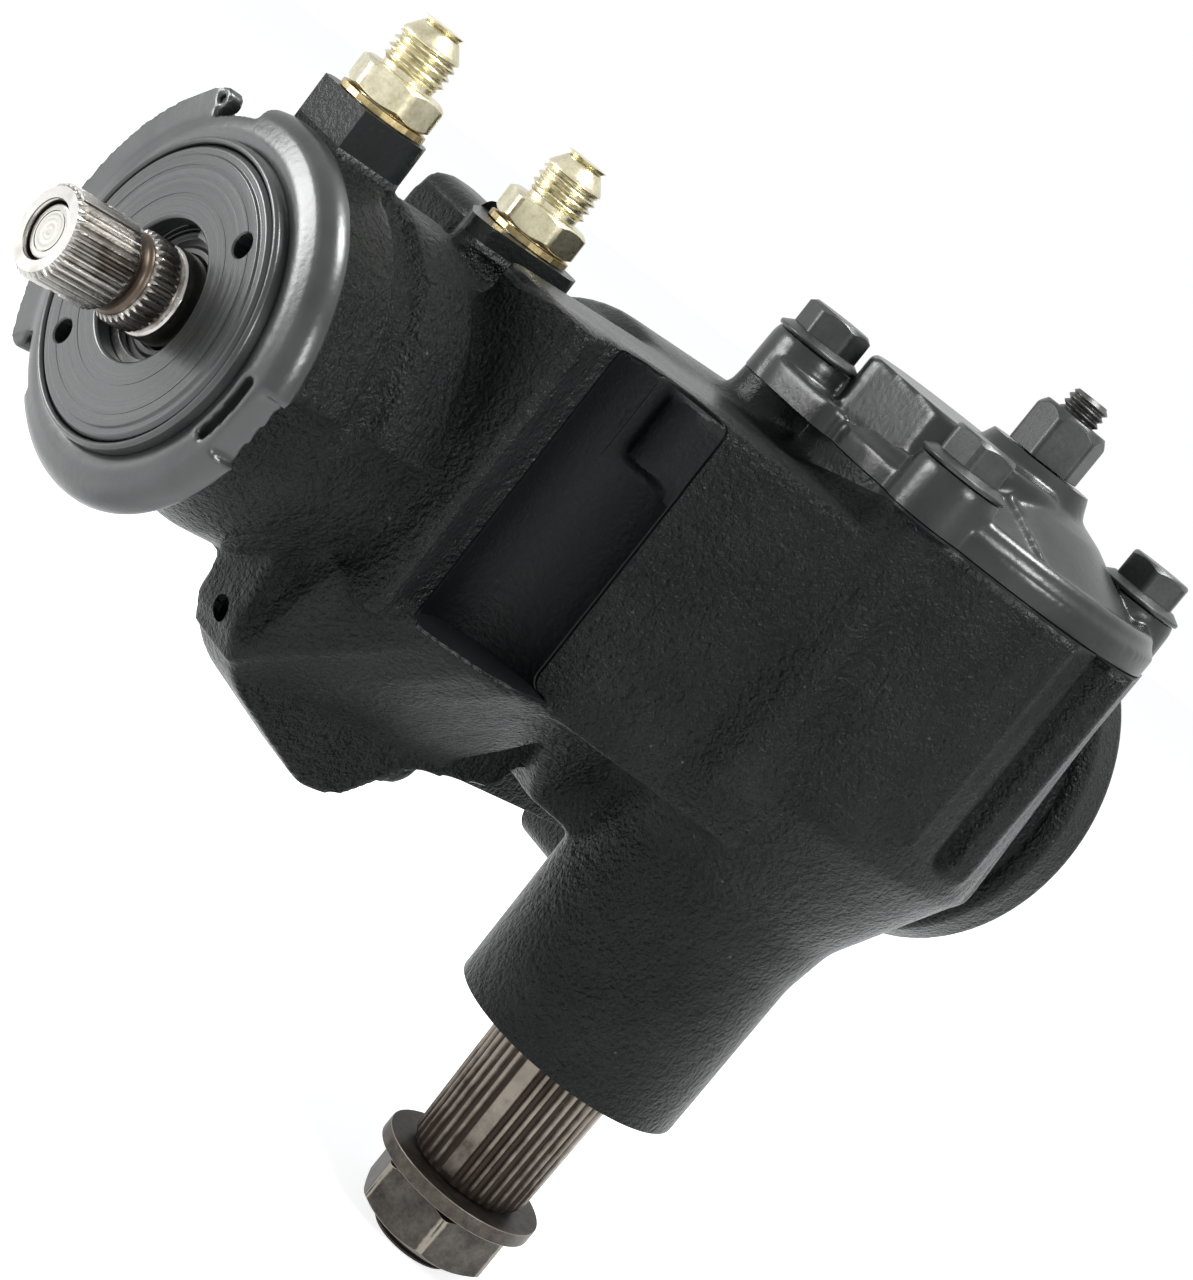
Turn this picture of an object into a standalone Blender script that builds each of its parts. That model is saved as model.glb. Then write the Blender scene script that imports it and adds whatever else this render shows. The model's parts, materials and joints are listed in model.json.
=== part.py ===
"""Integral power steering gearbox: a recirculating ball worm drives a rack piston,
whose teeth swing the sector shaft that carries the steering arm.

The sizes below are measured from the sector shaft's axis at the height of the worm
axis: +Z runs up the sector shaft through the side cover, +X runs along the worm away
from the input shaft, +Y points to the frame rail the gearbox is bolted to. The last
lines move the whole so that the origin lies on the face that meets the frame rail.
"""
import bpy
import bmesh
from math import acos, ceil, cos, floor, pi, radians, sin, sqrt, tan
from mathutils import Matrix, Vector

MM = 0.001

# Fits
GAP = 0.3 * MM              # play between pieces that touch
SKIN = 0.05 * MM            # overlap used inside one piece when shapes are joined
WELD = 0.004 * MM           # seams narrower than this are closed

# Layout
WORM_Y = 52.0 * MM          # distance from sector axis to worm axis
PITCH_R = 26.0 * MM         # sector gear pitch radius
DRIVE_RATIO = 14.0          # worm turns for one sector turn
SECTOR_SWING = radians(45)
FULL_TEETH = 9              # teeth a full gear of this pitch would have
SECTOR_TEETH = 3
PRESSURE = radians(30)
TOOTH_HALF_FACE = 19.0 * MM
TRAVEL = PITCH_R * SECTOR_SWING
LEAD = 2 * pi * PITCH_R / DRIVE_RATIO

# Sector gear
TOOTH_PITCH = 2 * pi * PITCH_R / FULL_TEETH
ADDENDUM = 0.883 * TOOTH_PITCH / pi
DEDENDUM = 1.02 * TOOTH_PITCH / pi
GEAR_TIP_R = PITCH_R + ADDENDUM
GEAR_ROOT_R = PITCH_R - DEDENDUM
BACKLASH = 0.32 * MM

# Ball screw
BALL_R = 3.4 * MM
BALL_GAP = 0.5 * MM
BALL_CIRCLE_R = 14.0 * MM
WORM_R = BALL_CIRCLE_R - 0.5 * MM
NUT_R = BALL_CIRCLE_R + 0.5 * MM
BALL_COUNT = 9
NUT_TURNS = 3.0

# Rack piston
PISTON_R = 37.8 * MM
PISTON_FRONT = -42.0 * MM
PISTON_REAR = 68.0 * MM
RACK_PLUG = 10.0 * MM
HUB_REACH = sqrt(GEAR_ROOT_R ** 2 - (WORM_Y - PISTON_R) ** 2)   # half width of the sector hub where the piston meets it
RACK_FLAT_HALF = TRAVEL + HUB_REACH + 1.9 * MM

# Housing
VALVE_CASE_R = 37.2 * MM
PISTON_CASE_R = PISTON_R + 7.7 * MM
BOWL_R = 44.0 * MM
BOSS_R = 29.3 * MM
BOSS_BOTTOM = -89.3 * MM
COVER_SEAT = 51.6 * MM
CAVITY_R = GEAR_TIP_R + 1.2 * MM
CAVITY_FLOOR = -22.0 * MM
BORE_START = PISTON_FRONT - TRAVEL - 3.5 * MM
CASE_FRONT = -160.5 * MM
VALVE_BORE_R = 27.3 * MM
COLLAR_FRONT = 93.9 * MM
CASE_REAR = 107.8 * MM
COLLAR_R = 49.9 * MM
FRAME_FACE = WORM_Y + 47.0 * MM
EAR_NEAR = 26.0 * MM
EAR_FAR = 40.0 * MM

# Sector shaft
SHAFT_R = 17.4 * MM
SPLINE_R = 15.875 * MM
SPLINE_END_R = 15.0 * MM
SPLINE_DEPTH = 0.95 * MM
SPLINE_TOP = -87.5 * MM
SPLINE_BOTTOM = -126.5 * MM
SHAFT_THREAD_R = 11.0 * MM
SHAFT_TIP = -147.0 * MM
TRUNNION_TOP = 61.0 * MM

# Cover, bolts and lash adjuster
BOLT_X = 35.8 * MM
BOLT_Y = 10.7 * MM
BOLT_HALF_Y = 26.3 * MM
BOLT_SHANK_R = 4.7 * MM
BOLT_SEAT = 62.9 * MM
BOLT_END = PISTON_R + 2.1 * MM
BOLT_DEPTH = BOLT_SEAT - BOLT_END
LASH_NUT_SEAT = 73.9 * MM
LASH_STUD_TOP = 91.0 * MM
LASH_HEAD_R = 8.0 * MM
LASH_HEAD_BOTTOM = 53.5 * MM
LASH_HEAD_TOP = 57.5 * MM

# Input end
STUB_R = 9.525 * MM
STUB_TIP = -197.3 * MM
PLUG_FACE = -171.3 * MM
PLUG_R = 30.0 * MM
PLUG_REAR = -141.5 * MM
LOCK_RIM_R = 41.5 * MM
SPANNER_R = 23.7 * MM
BAR_R = 3.2 * MM
BODY_FRONT = -137.0 * MM
BODY_REAR = -86.0 * MM
BODY_R = VALVE_BORE_R - GAP
SPOOL_R = 17.0 * MM
WORM_HEAD_REAR = -74.0 * MM
WORM_REAR = PISTON_REAR - RACK_PLUG - TRAVEL - 1.5 * MM

# Ports
PORT_Y = 55.5 * MM
PORT_1_X = -150.3 * MM
PORT_2_X = -102.4 * MM
PORT_1_TOP = 50.5 * MM
PORT_2_TOP = 45.8 * MM
PORT_DEPTH = 10.0 * MM
PORT_THREAD_R = 6.7 * MM
PORT_HOLE_R = PORT_THREAD_R + GAP
FITTING_WASHER = 1.2 * MM

# Mounting holes in the frame face as (z, x), and the origin's place on that face
MOUNT_SPOTS = ((-66 * MM, 63 * MM), (-56 * MM, -39 * MM), (26 * MM, -12 * MM))
MOUNT_HOLE_R = 5.6 * MM
MOUNT_HOLE_DEPTH = 20.0 * MM
ORIGIN_RISE = 15.0 * MM     # height of the origin above the rear mounting hole

# Sector shaft bearings, seals and their retaining ring
BEARING_OUT = SHAFT_R + 3.4 * MM
LOWER_BEARING_LOW = -58.0 * MM
LOWER_BEARING_HIGH = -26.0 * MM
SEAL_TOP = LOWER_BEARING_LOW - 6 * MM
SEAL_OUT = BEARING_OUT + 1.4 * MM
BOSS_CLIP_LOW = BOSS_BOTTOM + 3.2 * MM
BOSS_CLIP_HIGH = BOSS_CLIP_LOW + 1.6 * MM
BOSS_CLIP_OUT = SEAL_OUT + 1.4 * MM

# Cover spigot, hub and arm nut
SPIGOT_LOW = COVER_SEAT - 5.5 * MM
SPIGOT_R = CAVITY_R - GAP
UPPER_BORE_R = SHAFT_R + 2.9 * MM
COVER_LOW = COVER_SEAT + GAP
NUT_TOP = SPLINE_BOTTOM - 4.4 * MM
NUT_BOTTOM = NUT_TOP - 12.6 * MM
ARM_WASHER = 3.6 * MM

# Cylinder end ring
CLIP_LOW = CASE_REAR - 4.6 * MM
CLIP_HIGH = CLIP_LOW + 2.0 * MM
CLIP_OUT = PISTON_R + 2.2 * MM

# Rack piston inside
NUT_MIDDLE = WORM_REAR - TRAVEL - NUT_TURNS * LEAD / 2
FIRST_BALL = NUT_MIDDLE / LEAD - NUT_TURNS / 2
GUIDE_FLOOR = PISTON_R - 13.8 * MM
GUIDE_HALF = 22.0 * MM
GUIDE_NEAR = WORM_Y + 4.0 * MM
GUIDE_FAR = WORM_Y + 18.0 * MM
RING_GROOVE_LOW = PISTON_REAR - 12.0 * MM
RING_GROOVE_HIGH = RING_GROOVE_LOW + 4.4 * MM
END_PLUG_BORE_R = 19.0 * MM

# Valve, thrust bearings and torsion bar
STUB_INNER_R = 11.0 * MM
STUB_REAR = BODY_REAR - 8.0 * MM
PLUG_BORE_R = 14.6 * MM
RACE_THICK = 1.2 * MM
NEEDLE_THICK = 2.4 * MM
THRUST_R = 23.0 * MM
THRUST_START = BODY_REAR + 2.0 * MM
THRUST_SEAT = WORM_HEAD_REAR + 3 * GAP + RACE_THICK + NEEDLE_THICK
WORM_HEAD_R = 21.0 * MM
WORM_NECK_R = 12.4 * MM
SHOULDER_R = WORM_R + 2.5 * MM
PIN_R = 2.0 * MM
PIN_X = STUB_TIP + 7.3 * MM
PIN_TURN = radians(-10)

BODY_COLOUR = (0.012, 0.013, 0.014)
STEEL = (0.42, 0.41, 0.39)
DARK_STEEL = (0.07, 0.065, 0.06)
ZINC_GOLD = (0.62, 0.55, 0.33)
RUBBER = (0.015, 0.015, 0.016)
BRONZE = (0.42, 0.27, 0.12)
WHITE_PLASTIC = (0.75, 0.73, 0.68)


for old in list(bpy.data.objects):
    bpy.data.objects.remove(old, do_unlink=True)


# Helpers: paint, plain shapes, cutting and joining

def paint(name, colour, roughness, metallic):
    mat = bpy.data.materials.new(name)
    mat.use_nodes = True
    shader = mat.node_tree.nodes["Principled BSDF"]
    shader.inputs["Base Color"].default_value = (*colour, 1.0)
    shader.inputs["Roughness"].default_value = roughness
    shader.inputs["Metallic"].default_value = metallic
    return mat


def add_object(name, verts, faces):
    mesh = bpy.data.meshes.new(name)
    mesh.from_pydata([tuple(v) for v in verts], [], faces)
    work = bmesh.new()
    work.from_mesh(mesh)
    bmesh.ops.remove_doubles(work, verts=work.verts, dist=1e-7)
    bmesh.ops.recalc_face_normals(work, faces=work.faces)
    work.to_mesh(mesh)
    work.free()
    obj = bpy.data.objects.new(name, mesh)
    bpy.context.scene.collection.objects.link(obj)
    return obj


def axis_point(axis, along, u, v):
    if axis == "x":
        return (along, u, v)
    if axis == "y":
        return (v, along, u)
    return (u, v, along)


def turned(name, profile, axis="z", centre=(0, 0), segments=20, start=0.0):
    """Turn (along, radius) points about an axis; radius 0 at both ends gives a solid,
    otherwise the profile is closed into a ring."""
    solid = profile[0][1] == 0 and profile[-1][1] == 0
    verts = []
    rings = []
    for along, radius in profile:
        if radius == 0:
            rings.append([len(verts)])
            verts.append(axis_point(axis, along, *centre))
            continue
        ring = []
        for k in range(segments):
            angle = start + 2 * pi * k / segments
            ring.append(len(verts))
            u = centre[0] + radius * cos(angle)
            v = centre[1] + radius * sin(angle)
            verts.append(axis_point(axis, along, u, v))
        rings.append(ring)
    faces = []
    count = len(rings) - 1 if solid else len(rings)
    for i in range(count):
        a = rings[i]
        b = rings[(i + 1) % len(rings)]
        for k in range(segments):
            n = (k + 1) % segments
            if len(a) == 1 and len(b) == 1:
                continue
            if len(a) == 1:
                faces.append((a[0], b[k], b[n]))
            elif len(b) == 1:
                faces.append((a[k], a[n], b[0]))
            else:
                faces.append((a[k], a[n], b[n], b[k]))
    return add_object(name, verts, faces)


def rod(name, low, high, radius, axis="z", centre=(0, 0), segments=16, chamfer=0.0, start=0.0):
    if chamfer:
        profile = [(low, 0), (low, radius - chamfer), (low + chamfer, radius)]
        profile += [(high - chamfer, radius), (high, radius - chamfer), (high, 0)]
    else:
        profile = [(low, 0), (low, radius), (high, radius), (high, 0)]
    return turned(name, profile, axis, centre, segments, start)


def ring(name, low, high, inner, outer, axis="z", centre=(0, 0), segments=16, chamfer=0.0):
    c = chamfer
    if c:
        profile = [(low, inner), (low, outer - c), (low + c, outer)]
        profile += [(high - c, outer), (high, outer - c), (high, inner)]
    else:
        profile = [(low, inner), (low, outer), (high, outer), (high, inner)]
    return turned(name, profile, axis, centre, segments)


def cord_ring(name, along, mean_radius, cord_radius, axis, centre=(0, 0), segments=24, around=4):
    profile = []
    for k in range(around):
        angle = 2 * pi * k / around
        profile.append((along + cord_radius * cos(angle), mean_radius + cord_radius * sin(angle)))
    return turned(name, profile, axis, centre, segments)


def prism(name, outline, low, high, axis="z"):
    """Extrude a closed outline of (u, v) points along an axis."""
    count = len(outline)
    verts = [axis_point(axis, low, u, v) for u, v in outline]
    verts += [axis_point(axis, high, u, v) for u, v in outline]
    faces = [tuple(range(count))[::-1], tuple(range(count, 2 * count))]
    for k in range(count):
        n = (k + 1) % count
        faces.append((k, n, count + n, count + k))
    return add_object(name, verts, faces)


def hexagon(across_flats, turn=0.0, centre=(0, 0)):
    radius = across_flats / sqrt(3)
    points = []
    for k in range(6):
        angle = turn + pi / 3 * k
        points.append((centre[0] + radius * cos(angle), centre[1] + radius * sin(angle)))
    return points


def rounded(corners, radius, steps=5):
    """Round every corner of a convex or plain outline by an arc."""
    points = []
    count = len(corners)
    for k in range(count):
        here = Vector(corners[k])
        back = (Vector(corners[k - 1]) - here).normalized()
        ahead = (Vector(corners[(k + 1) % count]) - here).normalized()
        half = back.angle(ahead) / 2
        reach = radius / tan(half)
        middle = here + (back + ahead).normalized() * (radius / sin(half))
        first = here + back * reach - middle
        last = here + ahead * reach - middle
        sweep = first.angle(last)
        side = 1 if first.cross(last) > 0 else -1
        for s in range(steps + 1):
            spin = Matrix.Rotation(side * sweep * s / steps, 2)
            spot = middle + spin @ first
            points.append((spot.x, spot.y))
    return points


def boolean(target, other, operation):
    modifier = target.modifiers.new("shape", "BOOLEAN")
    modifier.operation = operation
    modifier.solver = "EXACT"
    modifier.object = other
    bpy.context.view_layer.update()
    depsgraph = bpy.context.evaluated_depsgraph_get()
    result = bpy.data.meshes.new_from_object(target.evaluated_get(depsgraph))
    target.modifiers.clear()
    spent = target.data
    target.data = result
    bpy.data.meshes.remove(spent)
    bpy.data.objects.remove(other, do_unlink=True)
    weld(target)
    return target


def weld(obj):
    """Close the hairline seams a cut can leave and drop its slivers."""
    work = bmesh.new()
    work.from_mesh(obj.data)
    bmesh.ops.remove_doubles(work, verts=work.verts, dist=WELD)
    bmesh.ops.dissolve_degenerate(work, edges=work.edges, dist=WELD)
    work.to_mesh(obj.data)
    work.free()
    return obj


def cut(target, *others):
    for other in others:
        boolean(target, other, "DIFFERENCE")
    return target


def join(target, *others):
    for other in others:
        boolean(target, other, "UNION")
    return target


def keep(target, other):
    return boolean(target, other, "INTERSECT")


def tidy(obj):
    """Merge flat neighbours and slivers, then split every face into triangles."""
    work = bmesh.new()
    work.from_mesh(obj.data)
    bmesh.ops.triangulate(work, faces=work.faces)
    bmesh.ops.remove_doubles(work, verts=work.verts, dist=WELD)
    bmesh.ops.dissolve_degenerate(work, edges=work.edges, dist=WELD)
    bmesh.ops.dissolve_limit(work, angle_limit=radians(0.3), verts=work.verts, edges=work.edges)
    bmesh.ops.triangulate(work, faces=work.faces)
    work.to_mesh(obj.data)
    work.free()
    return obj


def finish(obj, name, material):
    obj.name = name
    obj.data.name = name
    obj.data.materials.clear()
    obj.data.materials.append(material)
    for face in obj.data.polygons:
        face.material_index = 0
        face.use_smooth = False
    return obj


def hang(obj, parent):
    obj.parent = parent
    obj.matrix_parent_inverse = parent.matrix_world.inverted()
    return obj


def pivot(name, location):
    empty = bpy.data.objects.new(name, None)
    empty.location = location
    empty.empty_display_size = 0.02
    bpy.context.scene.collection.objects.link(empty)
    bpy.context.view_layer.update()
    return empty


WORM_AXIS = (WORM_Y, 0)

CAST_BLACK = paint("cast_iron_black_paint", BODY_COLOUR, 0.42, 0.0)
COVER_BLACK = paint("cover_black_paint", (0.02, 0.021, 0.022), 0.36, 0.0)
BOLT_BLACK = paint("bolt_black_oxide", (0.022, 0.022, 0.023), 0.45, 0.6)
LASH_STEEL = paint("adjuster_black_steel", (0.03, 0.03, 0.031), 0.4, 0.7)
LASH_NUT_BLACK = paint("adjuster_nut_black", (0.02, 0.02, 0.021), 0.42, 0.5)
SHAFT_STEEL = paint("sector_shaft_steel", (0.1, 0.085, 0.07), 0.38, 0.9)
NUT_BROWN = paint("arm_nut_phosphate", DARK_STEEL, 0.5, 0.85)
WASHER_BROWN = paint("lock_washer_phosphate", (0.06, 0.052, 0.046), 0.5, 0.85)
RACK_STEEL = paint("rack_steel", (0.3, 0.3, 0.3), 0.3, 0.95)
WORM_STEEL = paint("worm_ground_steel", (0.45, 0.45, 0.45), 0.2, 1.0)
BALL_STEEL = paint("ball_polished_steel", (0.7, 0.7, 0.7), 0.08, 1.0)
VALVE_STEEL = paint("valve_body_steel", (0.38, 0.38, 0.37), 0.25, 1.0)
SPOOL_STEEL = paint("valve_spool_steel", (0.5, 0.5, 0.49), 0.22, 1.0)
STUB_STEEL = paint("input_shaft_bare_steel", STEEL, 0.32, 1.0)
BAR_STEEL = paint("torsion_bar_spring_steel", (0.55, 0.54, 0.52), 0.2, 1.0)
PIN_STEEL = paint("pin_steel", (0.3, 0.29, 0.27), 0.3, 1.0)
RACE_STEEL = paint("bearing_race_steel", (0.5, 0.5, 0.52), 0.2, 1.0)
BEARING_STEEL = paint("bearing_shell_steel", (0.4, 0.4, 0.41), 0.3, 0.9)
PLUG_BLACK = paint("adjuster_plug_black", (0.017, 0.018, 0.019), 0.25, 0.4)
LOCKNUT_BLACK = paint("locknut_black_paint", (0.02, 0.021, 0.022), 0.3, 0.2)
SEAL_RUBBER = paint("seal_rubber", RUBBER, 0.6, 0.0)
RING_PLASTIC = paint("slide_ring_plastic", WHITE_PLASTIC, 0.5, 0.0)
CLIP_STEEL = paint("retaining_ring_spring_steel", (0.05, 0.05, 0.05), 0.35, 0.8)
END_PLUG_STEEL = paint("end_plug_cast", (0.1, 0.1, 0.1), 0.5, 0.3)
FITTING_GOLD = paint("fitting_gold_zinc", ZINC_GOLD, 0.28, 0.9)
COPPER = paint("port_washer_copper", (0.55, 0.36, 0.2), 0.35, 0.9)
GUIDE_STEEL = paint("ball_guide_zinc", (0.5, 0.5, 0.46), 0.35, 0.9)


# Housing: the rough casting is joined from plain bodies, then melted together with
# a fine remesh that leaves the fillets of a real casting, then machined.

def bowl_body():
    cone_low = -46.5 * MM
    cone_high = -9.0 * MM
    profile = [(BOSS_BOTTOM - 4 * MM, 0), (BOSS_BOTTOM - 4 * MM, BOSS_R - 0.4 * MM)]
    profile += [(cone_low, BOSS_R), (cone_high, BOWL_R + 2 * MM)]
    profile += [(COVER_SEAT + 4 * MM, BOWL_R), (COVER_SEAT + 4 * MM, 0)]
    return turned("bowl", profile, "z", (0, 0), 40)


def bolt_spots():
    spots = []
    for sx, sy in ((-1, 1), (-1, -1), (1, -1), (1, 1)):
        spots.append((sx * BOLT_X, BOLT_Y + sy * BOLT_HALF_Y))
    return spots


def bolt_columns():
    """Four columns under the cover bolts; the near ones run down the bowl as lugs."""
    columns = []
    drops = (18.0 * MM, -12.0 * MM, -12.0 * MM, 10.0 * MM)
    for spot, low in zip(bolt_spots(), drops):
        profile = [(low - 14 * MM, 0), (low - 14 * MM, 4 * MM), (low, 13.5 * MM)]
        profile += [(COVER_SEAT + 4 * MM, 10.0 * MM), (COVER_SEAT + 4 * MM, 0)]
        columns.append(turned("column", profile, "z", spot, 14))
    return columns


def cheek_body():
    """Wall from the bowl to the valve case, hollowed by the upright scallop."""
    outline = [(-116 * MM, 34 * MM), (-113 * MM, 8 * MM), (-108 * MM, 4 * MM)]
    outline += [(-78 * MM, 4 * MM), (-33 * MM, -30 * MM), (-10 * MM, 20 * MM), (-20 * MM, 50 * MM)]
    return prism("cheek", outline, -24 * MM, 44 * MM)


def scallop_cutter():
    return rod("scallop", -21 * MM, 60 * MM, 15.9 * MM, "z", (-92.8 * MM, -0.9 * MM), 20)


def corner_lug():
    outline = rounded([(-50 * MM, 30 * MM), (-45 * MM, 22 * MM), (-20 * MM, 20 * MM),
                       (-20 * MM, 52 * MM), (-49 * MM, 50 * MM)], 4 * MM)
    return prism("corner", outline, 20 * MM, COVER_SEAT + 4 * MM)


def ear_body():
    """Lower ear near the input end; outline in (z, x) for a prism along y."""
    outline = [(-20 * MM, -136 * MM), (-38 * MM, -133 * MM), (-45 * MM, -128 * MM), (-57 * MM, -119 * MM)]
    outline += [(-71.5 * MM, -85 * MM), (-69 * MM, -74 * MM), (-56 * MM, -65 * MM)]
    outline += [(-52 * MM, -40 * MM), (-10 * MM, -40 * MM), (-10 * MM, -136 * MM)]
    return prism("ear", rounded(outline, 4 * MM), EAR_NEAR, EAR_FAR, "y")


def ear_shelf():
    outline = [(-112 * MM, 6 * MM), (-72 * MM, 4 * MM), (-50 * MM, -9 * MM), (-36 * MM, 30 * MM)]
    outline += [(-60 * MM, 44 * MM), (-128 * MM, 44 * MM), (-130 * MM, 28 * MM)]
    return prism("shelf", outline, -46 * MM, -21 * MM)


def frame_rail():
    """Lower rail and pads on the frame side."""
    low = prism("rail", rounded([(-66 * MM, -44 * MM), (-66 * MM, 70 * MM), (-30 * MM, 70 * MM),
                                 (-30 * MM, -44 * MM)], 6 * MM), WORM_Y + 10 * MM, FRAME_FACE - 4 * MM, "y")
    rear = prism("rear_pad", rounded([(-84 * MM, 48 * MM), (-84 * MM, 78 * MM), (-40 * MM, 78 * MM),
                                      (-40 * MM, 48 * MM)], 8 * MM), WORM_Y + 22 * MM, FRAME_FACE + 3 * MM, "y")
    front = prism("front_pad", rounded([(-76 * MM, -56 * MM), (-76 * MM, -22 * MM), (-34 * MM, -22 * MM),
                                        (-34 * MM, -56 * MM)], 8 * MM), WORM_Y + 14 * MM, FRAME_FACE + 3 * MM, "y")
    top = prism("top_pad", rounded([(8 * MM, -30 * MM), (8 * MM, 6 * MM), (38 * MM, 6 * MM),
                                    (38 * MM, -30 * MM)], 8 * MM), WORM_Y, FRAME_FACE + 3 * MM, "y")
    return low, rear, front, top


def port_bosses():
    first = prism("port_1", rounded([(PORT_1_X - 13.5 * MM, PORT_Y - 13 * MM),
                                     (PORT_1_X + 13.5 * MM, PORT_Y - 13 * MM),
                                     (PORT_1_X + 12.5 * MM, PORT_Y + 12.5 * MM),
                                     (PORT_1_X - 12.5 * MM, PORT_Y + 12.5 * MM)], 7 * MM),
                  0, PORT_1_TOP + 3 * MM)
    second = prism("port_2", rounded([(PORT_2_X - 22 * MM, PORT_Y - 11 * MM),
                                      (PORT_2_X + 14 * MM, PORT_Y - 13 * MM),
                                      (PORT_2_X + 14 * MM, PORT_Y + 16 * MM),
                                      (PORT_2_X - 18 * MM, PORT_Y + 16 * MM)], 5 * MM),
                   0, PORT_2_TOP + 3 * MM)
    lug = prism("back_lug", rounded([(20 * MM, -118 * MM), (46 * MM, -114 * MM), (46 * MM, -96 * MM),
                                     (20 * MM, -88 * MM)], 5 * MM), PORT_Y + 12 * MM, PORT_Y + 30 * MM, "y")
    return first, second, lug


def casting():
    body = rod("casting", CASE_FRONT - 3 * MM, BORE_START + 10 * MM, VALVE_CASE_R, "x", WORM_AXIS, 28)
    case = turned("piston_case", [(BORE_START - 16 * MM, 0), (BORE_START - 16 * MM, VALVE_CASE_R - 4 * MM),
                                  (BORE_START - 2 * MM, PISTON_CASE_R), (COLLAR_FRONT + 3 * MM, PISTON_CASE_R),
                                  (COLLAR_FRONT + 3 * MM, 0)], "x", WORM_AXIS, 40)
    join(body, case, bowl_body(), *bolt_columns())
    join(body, cheek_body(), corner_lug(), ear_shelf())
    cut(body, scallop_cutter())
    join(body, ear_body(), *frame_rail())
    join(body, *port_bosses())
    return body


def melt(body, voxel, target):
    """Remesh the joined bodies, smooth the seams into fillets and thin the mesh."""
    remesh = body.modifiers.new("melt", "REMESH")
    remesh.mode = "VOXEL"
    remesh.voxel_size = voxel
    remesh.adaptivity = 0.0
    smooth = body.modifiers.new("fillet", "SMOOTH")
    smooth.factor = 0.5
    smooth.iterations = 4
    bpy.context.view_layer.update()
    depsgraph = bpy.context.evaluated_depsgraph_get()
    mesh = bpy.data.meshes.new_from_object(body.evaluated_get(depsgraph))
    body.modifiers.clear()
    body.data = mesh
    triangles = 2 * len(mesh.polygons)
    thin = body.modifiers.new("thin", "DECIMATE")
    thin.ratio = min(1.0, target / triangles)
    bpy.context.view_layer.update()
    depsgraph = bpy.context.evaluated_depsgraph_get()
    body.data = bpy.data.meshes.new_from_object(body.evaluated_get(depsgraph))
    body.modifiers.clear()
    return body


def face_off(body, axis, at, sign):
    """Machine a flat end: everything past the plane is taken away."""
    far = 0.4
    low, high = (at, at + far) if sign > 0 else (at - far, at)
    outline = [(-far, -far), (far, -far), (far, far), (-far, far)]
    return cut(body, prism("facing", outline, low, high, axis))


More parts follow.
